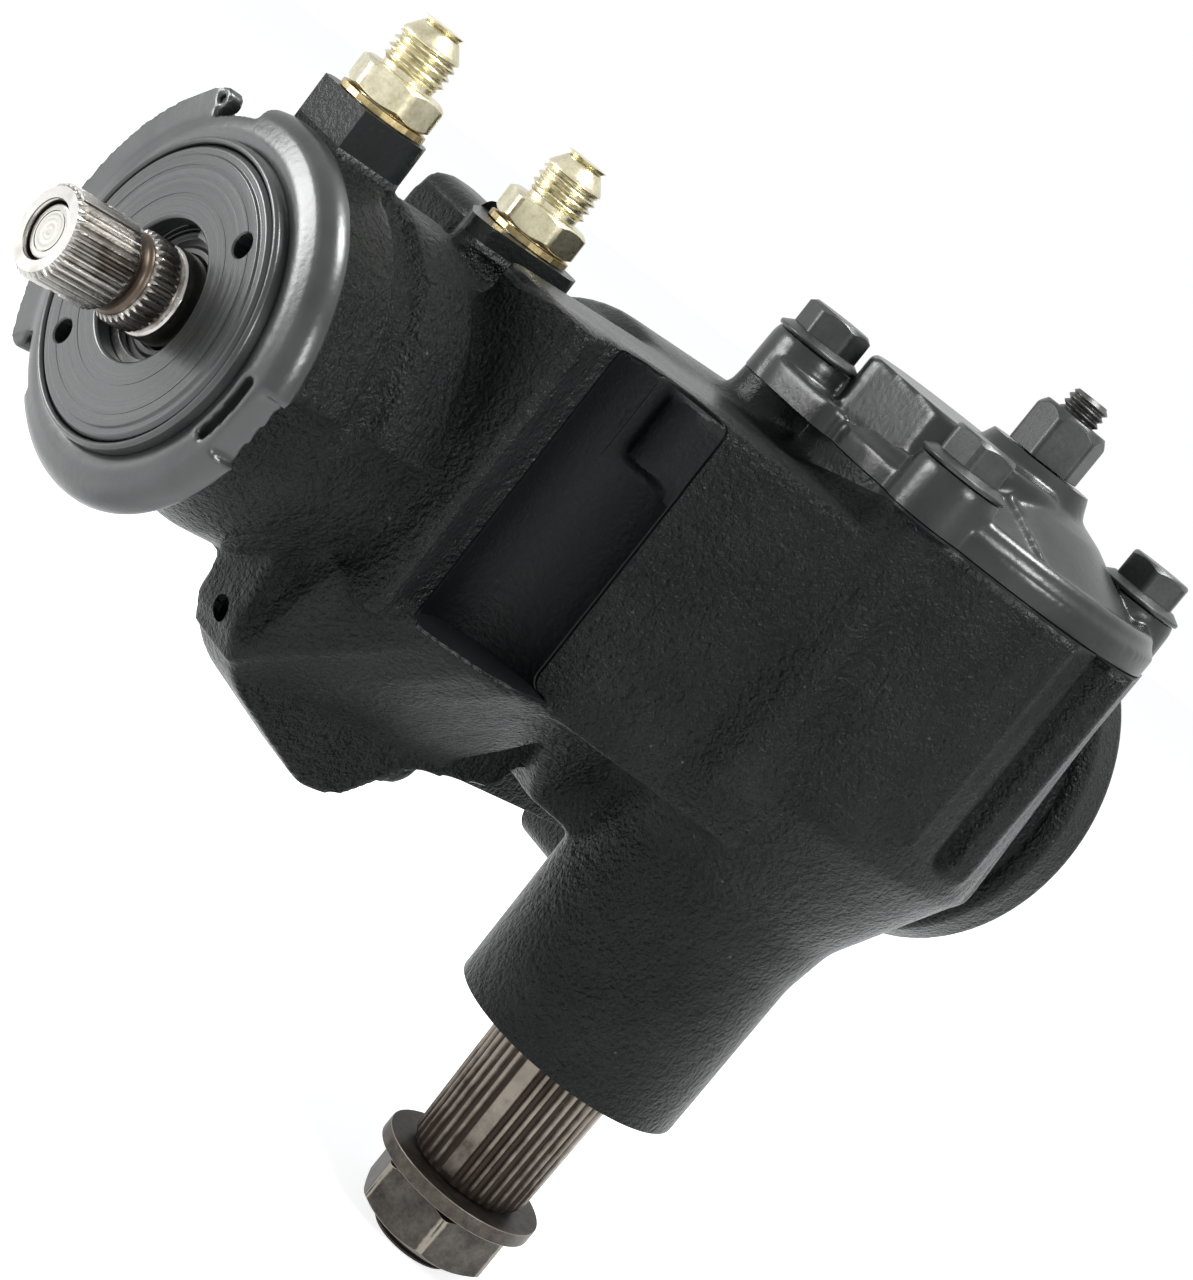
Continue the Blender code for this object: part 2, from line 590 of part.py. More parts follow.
def machine_housing(body):
    face_off(body, "z", COVER_SEAT, 1)
    face_off(body, "z", BOSS_BOTTOM, -1)
    face_off(body, "x", CASE_FRONT, -1)
    face_off(body, "y", FRAME_FACE, 1)
    collar = turned("collar", [(COLLAR_FRONT, 0), (COLLAR_FRONT, COLLAR_R - 2 * MM),
                               (COLLAR_FRONT + 2 * MM, COLLAR_R), (CASE_REAR - 2 * MM, COLLAR_R),
                               (CASE_REAR, COLLAR_R - 2 * MM), (CASE_REAR, 0)], "x", WORM_AXIS, 40)
    join(body, collar)
    plane_1 = prism("plane_1", [(PORT_1_X - 30 * MM, PORT_Y - 40 * MM), (PORT_1_X + 20 * MM, PORT_Y - 40 * MM),
                                (PORT_1_X + 20 * MM, PORT_Y + 40 * MM), (PORT_1_X - 30 * MM, PORT_Y + 40 * MM)],
                    PORT_1_TOP, PORT_1_TOP + 30 * MM)
    plane_2 = prism("plane_2", [(PORT_2_X - 27 * MM, PORT_Y - 16 * MM), (PORT_2_X + 17 * MM, PORT_Y - 16 * MM),
                                (PORT_2_X + 17 * MM, PORT_Y + 12 * MM), (PORT_2_X - 27 * MM, PORT_Y + 12 * MM)],
                    PORT_2_TOP, PORT_2_TOP + 30 * MM)
    cut(body, plane_1, plane_2)
    bore = PISTON_R + GAP
    long_bore = [(CASE_FRONT - 5 * MM, 0), (CASE_FRONT - 5 * MM, PLUG_R + GAP), (PLUG_REAR, PLUG_R + GAP),
                 (PLUG_REAR, VALVE_BORE_R), (THRUST_START, VALVE_BORE_R), (THRUST_START, THRUST_R + GAP),
                 (THRUST_SEAT, THRUST_R + GAP), (THRUST_SEAT, SHOULDER_R), (BORE_START, SHOULDER_R),
                 (BORE_START, bore),
                 (CLIP_LOW - 0.2 * MM, bore), (CLIP_LOW - 0.2 * MM, CLIP_OUT + GAP),
                 (CLIP_HIGH + 0.2 * MM, CLIP_OUT + GAP), (CLIP_HIGH + 0.2 * MM, bore),
                 (CASE_REAR + 5 * MM, bore), (CASE_REAR + 5 * MM, 0)]
    cut(body, turned("long_bore", long_bore, "x", WORM_AXIS, 28, 0.02))
    clip_out = BOSS_CLIP_OUT + GAP
    upright = [(BOSS_BOTTOM - 5 * MM, 0), (BOSS_BOTTOM - 5 * MM, SEAL_OUT),
               (BOSS_CLIP_LOW - 0.2 * MM, SEAL_OUT), (BOSS_CLIP_LOW - 0.2 * MM, clip_out),
               (BOSS_CLIP_HIGH + 0.2 * MM, clip_out), (BOSS_CLIP_HIGH + 0.2 * MM, SEAL_OUT),
               (SEAL_TOP, SEAL_OUT),
               (SEAL_TOP, SHAFT_R + 0.8 * MM), (LOWER_BEARING_LOW - GAP, SHAFT_R + 0.8 * MM),
               (LOWER_BEARING_LOW - GAP, BEARING_OUT + GAP), (CAVITY_FLOOR, BEARING_OUT + GAP),
               (CAVITY_FLOOR, CAVITY_R), (COVER_SEAT + 5 * MM, CAVITY_R), (COVER_SEAT + 5 * MM, 0)]
    cut(body, turned("upright_bore", upright, "z", (0, 0), 28, 0.03))
    for spot in bolt_spots():
        low = BOLT_SEAT - BOLT_DEPTH - 2 * MM
        cut(body, rod("bolt_hole", low, COVER_SEAT + 5 * MM, BOLT_SHANK_R + GAP, "z", spot, 16))
    for x, top in ((PORT_1_X, PORT_1_TOP), (PORT_2_X, PORT_2_TOP)):
        drill = [(VALVE_BORE_R - 6 * MM, 0), (VALVE_BORE_R - 6 * MM, 3.2 * MM), (top - PORT_DEPTH, 3.2 * MM),
                 (top - PORT_DEPTH, PORT_HOLE_R), (top + 5 * MM, PORT_HOLE_R), (top + 5 * MM, 0)]
        cut(body, turned("port", drill, "z", (x, PORT_Y), 16))
    for z, x in MOUNT_SPOTS:
        cut(body, rod("mount_hole", FRAME_FACE - MOUNT_HOLE_DEPTH, FRAME_FACE + 5 * MM, MOUNT_HOLE_R, "y",
                      (z, x), 16))
    ear_hole = ((EAR_NEAR + EAR_FAR) / 2, -44 * MM)
    cut(body, rod("ear_hole", -140 * MM, -112 * MM, 2.7 * MM, "x", ear_hole, 12))
    return body


def gear_housing():
    body = casting()
    body = melt(body, 2.4 * MM, 1700)
    body = machine_housing(body)
    return finish(tidy(body), "gear_housing", CAST_BLACK)


# Side cover with its spigot, bolts, seal and lash adjuster

def side_cover():
    low = COVER_LOW
    plate = turned("plate", [(low, 0), (low, 44.2 * MM), (low + 4.5 * MM, 44.2 * MM),
                             (low + 6 * MM, 42.5 * MM), (low + 6 * MM, 0)], "z", (0, 0), 28)
    for index, spot in enumerate(bolt_spots()):
        lug = turned("lug", [(low, 0), (low, 10.6 * MM), (BOLT_SEAT - 1.5 * MM, 10.0 * MM),
                             (BOLT_SEAT, 9.2 * MM), (BOLT_SEAT, 0)], "z", spot, 14)
        join(plate, lug)
        if index in (0, 3):
            side = -1 if index == 0 else 1
            outline = rounded([(side * 24 * MM, 14 * MM), (side * 47 * MM, 12 * MM),
                               (spot[0] + side * 11 * MM, spot[1]), (spot[0], spot[1] + 11 * MM),
                               (side * 6 * MM, 40 * MM)], 4 * MM)
            join(plate, prism("corner", outline, low, low + 6 * MM))
    join(plate, *cover_hub())
    for spot in bolt_spots():
        cut(plate, rod("spot_face", BOLT_SEAT, BOLT_SEAT + 20 * MM, 10.2 * MM, "z", spot, 16))
    groove = SPIGOT_R - 2.4 * MM
    join(plate, turned("spigot", [(SPIGOT_LOW, 0), (SPIGOT_LOW, SPIGOT_R), (COVER_SEAT - 4.2 * MM, SPIGOT_R),
                                  (COVER_SEAT - 4.2 * MM, groove), (COVER_SEAT - 1.4 * MM, groove),
                                  (COVER_SEAT - 1.4 * MM, SPIGOT_R), (low + 1 * MM, SPIGOT_R),
                                  (low + 1 * MM, 0)], "z", (0, 0), 28, 0.02))
    inside = [(SPIGOT_LOW - 2 * MM, 0), (SPIGOT_LOW - 2 * MM, UPPER_BORE_R + GAP),
              (TRUNNION_TOP + 1.5 * MM, UPPER_BORE_R + GAP), (TRUNNION_TOP + 1.5 * MM, BOLT_SHANK_R + GAP),
              (LASH_NUT_SEAT + 3 * MM, BOLT_SHANK_R + GAP), (LASH_NUT_SEAT + 3 * MM, 0)]
    cut(plate, turned("inside", inside, "z", (0, 0), 20))
    for spot in bolt_spots():
        cut(plate, rod("hole", COVER_SEAT - 5 * MM, BOLT_SEAT + 5 * MM, BOLT_SHANK_R + 0.5 * MM, "z", spot, 16,
                       0, 0.07))
    return finish(tidy(plate), "side_cover", COVER_BLACK)


def cover_hub():
    """Cone up to the adjuster boss, and the taller round boss on the input side."""
    low = COVER_LOW + 3 * MM
    cone = [(low, 0), (low, 41.5 * MM), (COVER_SEAT + 6.6 * MM, 41 * MM), (COVER_SEAT + 8 * MM, 38.5 * MM),
            (COVER_SEAT + 15.5 * MM, 21 * MM), (LASH_NUT_SEAT - 4.5 * MM, 14.5 * MM),
            (LASH_NUT_SEAT - 1 * MM, 13 * MM), (LASH_NUT_SEAT, 12 * MM), (LASH_NUT_SEAT, 0)]
    boss_top = LASH_NUT_SEAT - 3.4 * MM
    boss = rod("boss", low, boss_top, 26 * MM, "z", (-13 * MM, 10 * MM), 24, 1.6 * MM)
    return turned("hub", cone, "z", (0, 0), 28), boss


def cover_seal():
    seal = cord_ring("cover_seal", COVER_SEAT - 2.8 * MM, SPIGOT_R - 1.0 * MM, 1.05 * MM, "z")
    return finish(seal, "cover_seal", SEAL_RUBBER)


def cover_bolt(index, spot):
    seat = BOLT_SEAT + GAP
    across = 14.3 * MM
    body = turned("bolt", [(BOLT_SEAT - BOLT_DEPTH, 0), (BOLT_SEAT - BOLT_DEPTH, BOLT_SHANK_R - 1 * MM),
                           (BOLT_SEAT - BOLT_DEPTH + 1 * MM, BOLT_SHANK_R), (seat, BOLT_SHANK_R),
                           (seat, 9.4 * MM), (seat + 1.0 * MM, 9.5 * MM), (seat + 2.4 * MM, 8.0 * MM),
                           (seat + 2.4 * MM, 0)], "z", spot, 16)
    turn = radians((12, -20, 34, 5)[index])
    head = prism("head", hexagon(across, turn, spot), seat + 1.5 * MM, seat + 8.6 * MM)
    dome = turned("dome", [(seat + 1.0 * MM, 0), (seat + 1.0 * MM, 9.5 * MM), (seat + 7.2 * MM, 9.0 * MM),
                           (seat + 8.6 * MM, 6.9 * MM), (seat + 8.6 * MM, 0)], "z", spot, 16)
    join(body, keep(head, dome))
    name = "cover_bolt_%d" % (index + 1)
    return finish(tidy(body), name, BOLT_BLACK)


def lash_screw():
    body = turned("screw", [(LASH_HEAD_BOTTOM, 0), (LASH_HEAD_BOTTOM, LASH_HEAD_R - 0.6 * MM),
                            (LASH_HEAD_BOTTOM + 0.6 * MM, LASH_HEAD_R), (LASH_HEAD_TOP, LASH_HEAD_R),
                            (LASH_HEAD_TOP, BOLT_SHANK_R), (LASH_STUD_TOP - 1.2 * MM, BOLT_SHANK_R),
                            (LASH_STUD_TOP, BOLT_SHANK_R - 1.2 * MM), (LASH_STUD_TOP, 0)], "z", (0, 0), 16)
    cut(body, prism("socket", hexagon(4.8 * MM), LASH_STUD_TOP - 4 * MM, LASH_STUD_TOP + 2 * MM))
    return finish(tidy(body), "lash_adjuster_screw", LASH_STEEL)


def hex_nut(name, low, high, across, bore, material, turn=0.0, washer=0.0, centre=(0, 0), chamfer=1.0):
    body = prism("nut", hexagon(across, turn, centre), low, high)
    reach = across / sqrt(3)
    flat = across / 2
    drop = (reach - flat) * 0.6 * chamfer
    crown = [(low, 0), (low, flat * 0.98), (low + drop, reach + 0.1 * MM), (high - drop, reach + 0.1 * MM),
             (high, flat * 0.98), (high, 0)]
    keep(body, turned("crown", crown, "z", centre, 20))
    if washer:
        join(body, rod("skirt", low, low + washer, flat * 1.12, "z", centre, 20))
    cut(body, rod("bore", low - 1 * MM, high + 1 * MM, bore, "z", centre, 16))
    return finish(tidy(body), name, material)


# Sector shaft: three involute teeth, splines for the arm, thread and T slot

def involute(angle):
    return tan(angle) - angle


def gear_tooth_outline(middle):
    """One tooth as a closed outline, from inside the root to the tip and back."""
    base = PITCH_R * cos(PRESSURE)
    half = pi / (2 * FULL_TEETH) - BACKLASH / (4 * PITCH_R) + involute(PRESSURE)
    flank = []
    steps = 9
    for k in range(steps + 1):
        radius = base + (GEAR_TIP_R - base) * k / steps
        lean = half - involute(acos(min(1.0, base / radius)))
        flank.append((radius, lean))
    foot = (GEAR_ROOT_R - 1.5 * MM, half)
    right = [foot] + flank
    points = []
    for radius, lean in right:
        points.append((radius * cos(middle - lean), radius * sin(middle - lean)))
    tip = right[-1][1]
    for k in range(1, 4):
        lean = tip - 2 * tip * k / 4
        points.append((GEAR_TIP_R * cos(middle - lean), GEAR_TIP_R * sin(middle - lean)))
    for radius, lean in reversed(right):
        points.append((radius * cos(middle + lean), radius * sin(middle + lean)))
    return points


def splined_shaft(low, high, low_r, high_r, depth, teeth, wide, segments_per_tooth=4):
    """A tapered spline bar with every wide-th tooth left broad as a master spline."""
    count = teeth * segments_per_tooth
    verts = []
    rings = []
    for z, radius in ((low, low_r), (high, high_r)):
        ring_points = []
        for k in range(count):
            tooth = k // segments_per_tooth
            phase = k % segments_per_tooth
            deep = phase >= segments_per_tooth / 2
            if wide and tooth % wide == 0:
                deep = False
            r = radius - depth if deep else radius
            angle = 2 * pi * (k + 0.0) / count
            ring_points.append(len(verts))
            verts.append((r * cos(angle), r * sin(angle), z))
        rings.append(ring_points)
    faces = [tuple(reversed(rings[0])), tuple(rings[1])]
    for k in range(count):
        n = (k + 1) % count
        faces.append((rings[0][k], rings[0][n], rings[1][n], rings[1][k]))
    return add_object("splines", verts, faces)


def sector_shaft():
    profile = [(SHAFT_TIP, 0), (SHAFT_TIP, SHAFT_THREAD_R - 1.4 * MM), (SHAFT_TIP + 1.4 * MM, SHAFT_THREAD_R),
               (SPLINE_BOTTOM, SHAFT_THREAD_R), (SPLINE_BOTTOM, SPLINE_END_R - SPLINE_DEPTH - 0.6 * MM),
               (SPLINE_TOP + 1 * MM, SPLINE_R - SPLINE_DEPTH), (SPLINE_TOP + 3 * MM, SHAFT_R),
               (-TOOTH_HALF_FACE, SHAFT_R), (-TOOTH_HALF_FACE, GEAR_ROOT_R),
               (TOOTH_HALF_FACE, GEAR_ROOT_R), (TOOTH_HALF_FACE, SHAFT_R),
               (TRUNNION_TOP - 1 * MM, SHAFT_R), (TRUNNION_TOP, SHAFT_R - 1 * MM), (TRUNNION_TOP, 0)]
    body = turned("shaft", profile, "z", (0, 0), 28)
    for k in range(SECTOR_TEETH):
        middle = pi / 2 + (k - (SECTOR_TEETH - 1) / 2) * 2 * pi / FULL_TEETH
        join(body, prism("tooth", gear_tooth_outline(middle), -TOOTH_HALF_FACE, TOOTH_HALF_FACE))
    splines = splined_shaft(SPLINE_BOTTOM, SPLINE_TOP, SPLINE_END_R, SPLINE_R, SPLINE_DEPTH, 36, 9, 3)
    join(body, splines)
    head = LASH_HEAD_R + GAP
    neck = BOLT_SHANK_R + GAP
    slot_low = LASH_HEAD_BOTTOM - GAP
    slot_high = LASH_HEAD_TOP + GAP
    wide = 2 * SHAFT_R
    cut(body, prism("slot", [(-wide, -head), (wide, -head), (wide, head), (-wide, head)], slot_low, slot_high))
    cut(body, prism("neck", [(-wide, -neck), (wide, -neck), (wide, neck), (-wide, neck)],
                    slot_high - SKIN, TRUNNION_TOP + 2 * MM))
    return finish(tidy(body), "sector_shaft", SHAFT_STEEL)


def lock_washer():
    """Split spring washer: a plain ring with its cut at the far side."""
    low = NUT_TOP + GAP
    body = ring("washer", low, low + ARM_WASHER, SHAFT_THREAD_R + 0.4 * MM, 20.3 * MM, "z", (0, 0), 28, 0.6 * MM)
    slit = prism("slit", [(8 * MM, -0.8 * MM), (24 * MM, 0.4 * MM), (24 * MM, 2.0 * MM), (8 * MM, 0.8 * MM)],
                 low - 1 * MM, low + 5 * MM)
    cut(body, slit)
    return finish(tidy(body), "arm_lock_washer", WASHER_BROWN)


# Rack piston, its ring, plug, ball circuit

def rack_piston():
    chamfer = 1.5 * MM
    groove = PISTON_R - 3.2 * MM
    body = turned("piston", [(PISTON_FRONT, 0), (PISTON_FRONT, PISTON_R - chamfer),
                             (PISTON_FRONT + chamfer, PISTON_R), (RING_GROOVE_LOW, PISTON_R),
                             (RING_GROOVE_LOW, groove), (RING_GROOVE_HIGH, groove), (RING_GROOVE_HIGH, PISTON_R),
                             (PISTON_REAR - chamfer, PISTON_R), (PISTON_REAR, PISTON_R - chamfer),
                             (PISTON_REAR, 0)], "x", WORM_AXIS, 28)
    rack_gaps(body)
    cut(body, plain_bore(), nut_thread())
    cut(body, prism("guide_seat", guide_outline(0), GUIDE_FLOOR, PISTON_R + 5 * MM))
    return finish(tidy(body), "rack_piston", RACK_STEEL)


def guide_outline(play):
    low = NUT_MIDDLE - GUIDE_HALF + play
    high = NUT_MIDDLE + GUIDE_HALF - play
    near = GUIDE_NEAR + play
    far = GUIDE_FAR - play
    return rounded([(low, near), (high, near), (high, far), (low, far)], 3 * MM - play, 3)


def rack_gaps(body):
    """Cut the flat and the straight-sided gaps that mesh with the sector."""
    tip_y = PITCH_R - ADDENDUM
    root_y = PITCH_R + DEDENDUM
    pitch = TOOTH_PITCH
    lean = tan(PRESSURE)
    deep = 50 * MM
    flat = prism("flat", [(-RACK_FLAT_HALF, -deep), (RACK_FLAT_HALF, -deep), (RACK_FLAT_HALF, tip_y),
                          (-RACK_FLAT_HALF, tip_y)], -deep, deep)
    cut(body, flat)
    half = pitch / 4 + BACKLASH / 4
    for k in range(SECTOR_TEETH):
        middle = (k - (SECTOR_TEETH - 1) / 2) * pitch
        low = half + lean * (PITCH_R - tip_y + 2 * MM)
        high = half - lean * (root_y - PITCH_R)
        outline = [(middle - low, tip_y - 2 * MM), (middle + low, tip_y - 2 * MM),
                   (middle + high, root_y), (middle - high, root_y)]
        cut(body, prism("gap", outline, -deep, deep))


def thread_radius(phase, core, groove_r, outward):
    """Radius of the ball track along one lead: core bar with a round groove or ridge."""
    half = LEAD / 2
    s = (phase + half) % LEAD - half
    if abs(s) > groove_r * 1.0001:
        return core
    rise = sqrt(max(0.0, groove_r * groove_r - s * s))
    if outward:
        return BALL_CIRCLE_R + rise
    return min(core, BALL_CIRCLE_R - rise)


def thread_bar(name, low, high, core, outward, around=18):
    """A bar whose mesh lines follow the ball track, trimmed square at both ends."""
    groove_r = BALL_R + BALL_GAP
    spans = []
    steps = 4
    edge = groove_r if outward else sqrt(groove_r ** 2 - (core - BALL_CIRCLE_R) ** 2)
    for k in range(steps + 1):
        spans.append(-edge * cos(pi * k / steps))
    spans.append(LEAD / 2)
    turns = int(ceil((high - low) / LEAD)) + 5
    first = floor(low / LEAD) - 2
    verts = []
    rows = []
    stations = []
    for turn in range(turns):
        for s in spans:
            stations.append((first + turn) * LEAD + s)
    for station in stations:
        row = []
        for k in range(around):
            angle = 2 * pi * k / around
            x = station + LEAD * angle / (2 * pi)
            s = (station + LEAD / 2) % LEAD - LEAD / 2
            radius = thread_radius(s, core, groove_r, outward)
            row.append(len(verts))
            verts.append((x, WORM_Y + radius * cos(angle), radius * sin(angle)))
        rows.append(row)
    return thread_skin(name, verts, rows, len(spans), around, low, high)


def thread_skin(name, verts, rows, per_turn, around, low, high):
    faces = []
    last = len(rows) - per_turn
    for i in range(last - 1):
        for k in range(around):
            a = rows[i][k]
            d = rows[i + 1][k]
            if k + 1 < around:
                b = rows[i][k + 1]
                c = rows[i + 1][k + 1]
            else:
                b = rows[i + per_turn][0]
                c = rows[i + 1 + per_turn][0]
            faces.append((a, b, c, d))
    mesh = bpy.data.meshes.new(name)
    mesh.from_pydata(verts, [], faces)
    work = bmesh.new()
    work.from_mesh(mesh)
    loose = [v for v in work.verts if not v.link_faces]
    bmesh.ops.delete(work, geom=loose, context="VERTS")
    bmesh.ops.holes_fill(work, edges=[e for e in work.edges if e.is_boundary], sides=0)
    bmesh.ops.triangulate(work, faces=work.faces)
    bmesh.ops.recalc_face_normals(work, faces=work.faces)
    work.to_mesh(mesh)
    work.free()
    obj = bpy.data.objects.new(name, mesh)
    bpy.context.scene.collection.objects.link(obj)
    return keep(obj, rod("trim", low, high, 40 * MM, "x", WORM_AXIS, 16, 0, 0.05))


def plain_bore():
    return turned("plain_bore", [(PISTON_FRONT - 2 * MM, 0), (PISTON_FRONT - 2 * MM, NUT_R),
                                 (PISTON_REAR - RACK_PLUG - 3 * MM, NUT_R),
                                 (PISTON_REAR - RACK_PLUG - 3 * MM, END_PLUG_BORE_R),
                                 (PISTON_REAR + 2 * MM, END_PLUG_BORE_R), (PISTON_REAR + 2 * MM, 0)],
                  "x", WORM_AXIS, 20, 0.04)


def nut_thread():
    half = NUT_TURNS * LEAD / 2 + LEAD * 0.46
    return thread_bar("nut_thread", NUT_MIDDLE - half, NUT_MIDDLE + half, NUT_R - 1 * MM, True)


def track_point(turns):
    """Centre of a ball that has gone a number of turns along the track."""
    angle = 2 * pi * turns
    x = LEAD * turns
    return Vector((x, WORM_Y + BALL_CIRCLE_R * cos(angle), BALL_CIRCLE_R * sin(angle)))


def ball(index):
    turns = FIRST_BALL + NUT_TURNS * (index + 0.5) / BALL_COUNT
    spot = track_point(turns)
    mesh = bpy.data.meshes.new("ball")
    work = bmesh.new()
    bmesh.ops.create_icosphere(work, subdivisions=2, radius=BALL_R)
    work.to_mesh(mesh)
    work.free()
    obj = bpy.data.objects.new("ball", mesh)
    obj.location = spot
    bpy.context.scene.collection.objects.link(obj)
    return finish(obj, "ball_%02d" % (index + 1), BALL_STEEL)


def rack_ring():
    body = ring("ring", RING_GROOVE_LOW + GAP, RING_GROOVE_HIGH - GAP, PISTON_R - 2.9 * MM,
                PISTON_R - 0.1 * MM, "x", WORM_AXIS, 28)
    return finish(body, "rack_slide_ring", RING_PLASTIC)


def rack_plug():
    low = PISTON_REAR - RACK_PLUG
    body = rod("plug", low, PISTON_REAR - 0.8 * MM, END_PLUG_BORE_R - GAP, "x", WORM_AXIS, 20, 0.8 * MM)
    cut(body, prism("drive", [(-6 * MM, WORM_Y - 6 * MM), (6 * MM, WORM_Y - 6 * MM), (6 * MM, WORM_Y + 6 * MM),
                              (-6 * MM, WORM_Y + 6 * MM)], PISTON_REAR - 6 * MM, PISTON_REAR + 1 * MM, "x"))
    return finish(tidy(body), "rack_end_plug", PIN_STEEL)


def ball_guide():
    body = prism("guide", guide_outline(GAP), GUIDE_FLOOR + GAP, GUIDE_FLOOR + 6.5 * MM)
    return finish(body, "ball_return_guide", GUIDE_STEEL)


# Worm, valve and input shaft, all turning on the worm axis

def worm():
    thread_low = NUT_MIDDLE - NUT_TURNS * LEAD / 2 - TRAVEL - LEAD
    thread_high = min(WORM_REAR, NUT_MIDDLE + NUT_TURNS * LEAD / 2 + TRAVEL + LEAD * 0.4)
    body = thread_bar("worm", thread_low, thread_high, WORM_R, False)
    head = [(BODY_REAR + GAP, 0), (BODY_REAR + GAP, WORM_HEAD_R), (WORM_HEAD_REAR, WORM_HEAD_R),
            (WORM_HEAD_REAR, WORM_NECK_R), (thread_low + 1 * MM, WORM_NECK_R), (thread_low + 1 * MM, 0)]
    join(body, turned("head", head, "x", WORM_AXIS, 20))
    cut(body, rod("bar_bore", BODY_REAR - 5 * MM, BODY_REAR + 34 * MM, BAR_R + GAP, "x", WORM_AXIS, 16))
    return finish(tidy(body), "worm", WORM_STEEL)


def valve_body():
    """Sleeve with four seal grooves and three oil grooves between them."""
    outer = BODY_R
    length = BODY_REAR - BODY_FRONT
    profile = [(BODY_FRONT, SPOOL_R + GAP), (BODY_FRONT, outer)]
    for k in range(7):
        middle = BODY_FRONT + length * (k + 1) / 8
        half, floor = (1.5 * MM, outer - 2.0 * MM) if k % 2 == 0 else (3.0 * MM, outer - 2.4 * MM)
        profile += [(middle - half, outer), (middle - half, floor), (middle + half, floor), (middle + half, outer)]
    profile += [(BODY_REAR, outer), (BODY_REAR, SPOOL_R + GAP)]
    body = turned("valve", profile, "x", WORM_AXIS, 20)
    return finish(tidy(body), "valve_body", VALVE_STEEL)


def seal_spots():
    length = BODY_REAR - BODY_FRONT
    return [BODY_FRONT + length * (k + 0.5) / 4 for k in range(4)]


def valve_seal(index, along):
    body = ring("seal", along - 1.2 * MM, along + 1.2 * MM, BODY_R - 1.7 * MM, BODY_R - 0.05 * MM,
                "x", WORM_AXIS, 20)
    return finish(body, "valve_seal_ring_%d" % (index + 1), RING_PLASTIC)


def valve_spool():
    low = BODY_FRONT + 3 * MM
    high = BODY_REAR - 4 * MM
    body = ring("spool", low, high, STUB_INNER_R + GAP, SPOOL_R, "x", WORM_AXIS, 20)
    for k in range(8):
        angle = 2 * pi * k / 8
        centre = (WORM_Y + SPOOL_R * cos(angle), SPOOL_R * sin(angle))
        slot = rod("slot", low + 10 * MM, high - 10 * MM, 2.2 * MM, "x", centre, 12)
        cut(body, slot)
    return finish(tidy(body), "valve_spool", SPOOL_STEEL)


def stub_shaft():
    neck = STUB_R - 1.6 * MM
    first_end = STUB_TIP + 15.5 * MM
    neck_end = first_end + 3.6 * MM
    second_end = PLUG_FACE - 0.5 * MM
    profile = [(STUB_TIP + 0.8 * MM, 0), (STUB_TIP + 0.8 * MM, STUB_R - 1.1 * MM),
               (first_end + 0.4 * MM, STUB_R - 1.1 * MM), (first_end + 0.9 * MM, neck),
               (neck_end - 0.9 * MM, neck), (neck_end - 0.4 * MM, STUB_R - 1.1 * MM),
               (second_end + 0.4 * MM, STUB_R - 1.1 * MM), (second_end + 0.9 * MM, STUB_R),
               (BODY_FRONT - 2 * MM, STUB_R), (BODY_FRONT - 2 * MM, STUB_INNER_R), (STUB_REAR, STUB_INNER_R),
               (STUB_REAR, 0)]
    body = turned("stub", profile, "x", WORM_AXIS, 20)
    for low, high in ((STUB_TIP, first_end), (neck_end, second_end)):
        bar = splined_shaft(low, high, STUB_R, STUB_R, 0.85 * MM, 36, 0, 2)
        chamfer = turned("chamfer", [(low, 0), (low, STUB_R - 1.0 * MM), (low + 1.0 * MM, STUB_R + 0.2 * MM),
                                     (high - 0.8 * MM, STUB_R + 0.2 * MM), (high, STUB_R - 0.9 * MM), (high, 0)],
                         "z", (0, 0), 20)
        keep(bar, chamfer)
        bar.data.transform(Matrix.Rotation(pi / 2, 4, "Y"))
        bar.data.transform(Matrix.Translation((0, WORM_Y, 0)))
        join(body, bar)
    hollow = [(STUB_TIP - 2 * MM, 0), (STUB_TIP - 2 * MM, 6.3 * MM), (STUB_TIP + 1.6 * MM, 5.6 * MM + GAP),
              (STUB_TIP + 14 * MM, 5.6 * MM + GAP), (STUB_TIP + 14 * MM, BAR_R + 1.0 * MM),
              (STUB_REAR + 2 * MM, BAR_R + 1.0 * MM), (STUB_REAR + 2 * MM, 0)]
    cut(body, turned("hollow", hollow, "x", WORM_AXIS, 20))
    cut(body, pin_shape("pin_hole", PIN_R + GAP, STUB_R + 3 * MM))
    return finish(tidy(body), "stub_shaft", STUB_STEEL)


def pin_shape(name, radius, reach):
    """A pin across the input shaft, upright but for a small turn."""
    body = rod(name, -reach, reach, radius, "z", (0, 0), 16)
    body.data.transform(Matrix.Rotation(PIN_TURN, 4, "X"))
    body.data.transform(Matrix.Translation((PIN_X, WORM_Y, 0)))
    return body


def torsion_pin():
    return finish(pin_shape("pin", PIN_R, STUB_R - 1.0 * MM), "torsion_bar_pin", PIN_STEEL)


def torsion_bar():
    end = STUB_TIP + 13.5 * MM
    tail = BODY_REAR + 30 * MM
    body = turned("bar", [(STUB_TIP + 1.2 * MM, 0), (STUB_TIP + 1.2 * MM, 4.9 * MM), (STUB_TIP + 1.9 * MM, 5.6 * MM),
                          (end - 1 * MM, 5.6 * MM), (end, BAR_R), (tail, BAR_R), (tail, 0)], "x", WORM_AXIS, 16)
    cut(body, pin_shape("pin_hole", PIN_R + GAP, STUB_R + 3 * MM))
    return finish(tidy(body), "torsion_bar", BAR_STEEL)


# Adjuster plug, locknut, seals and bearings at the input end

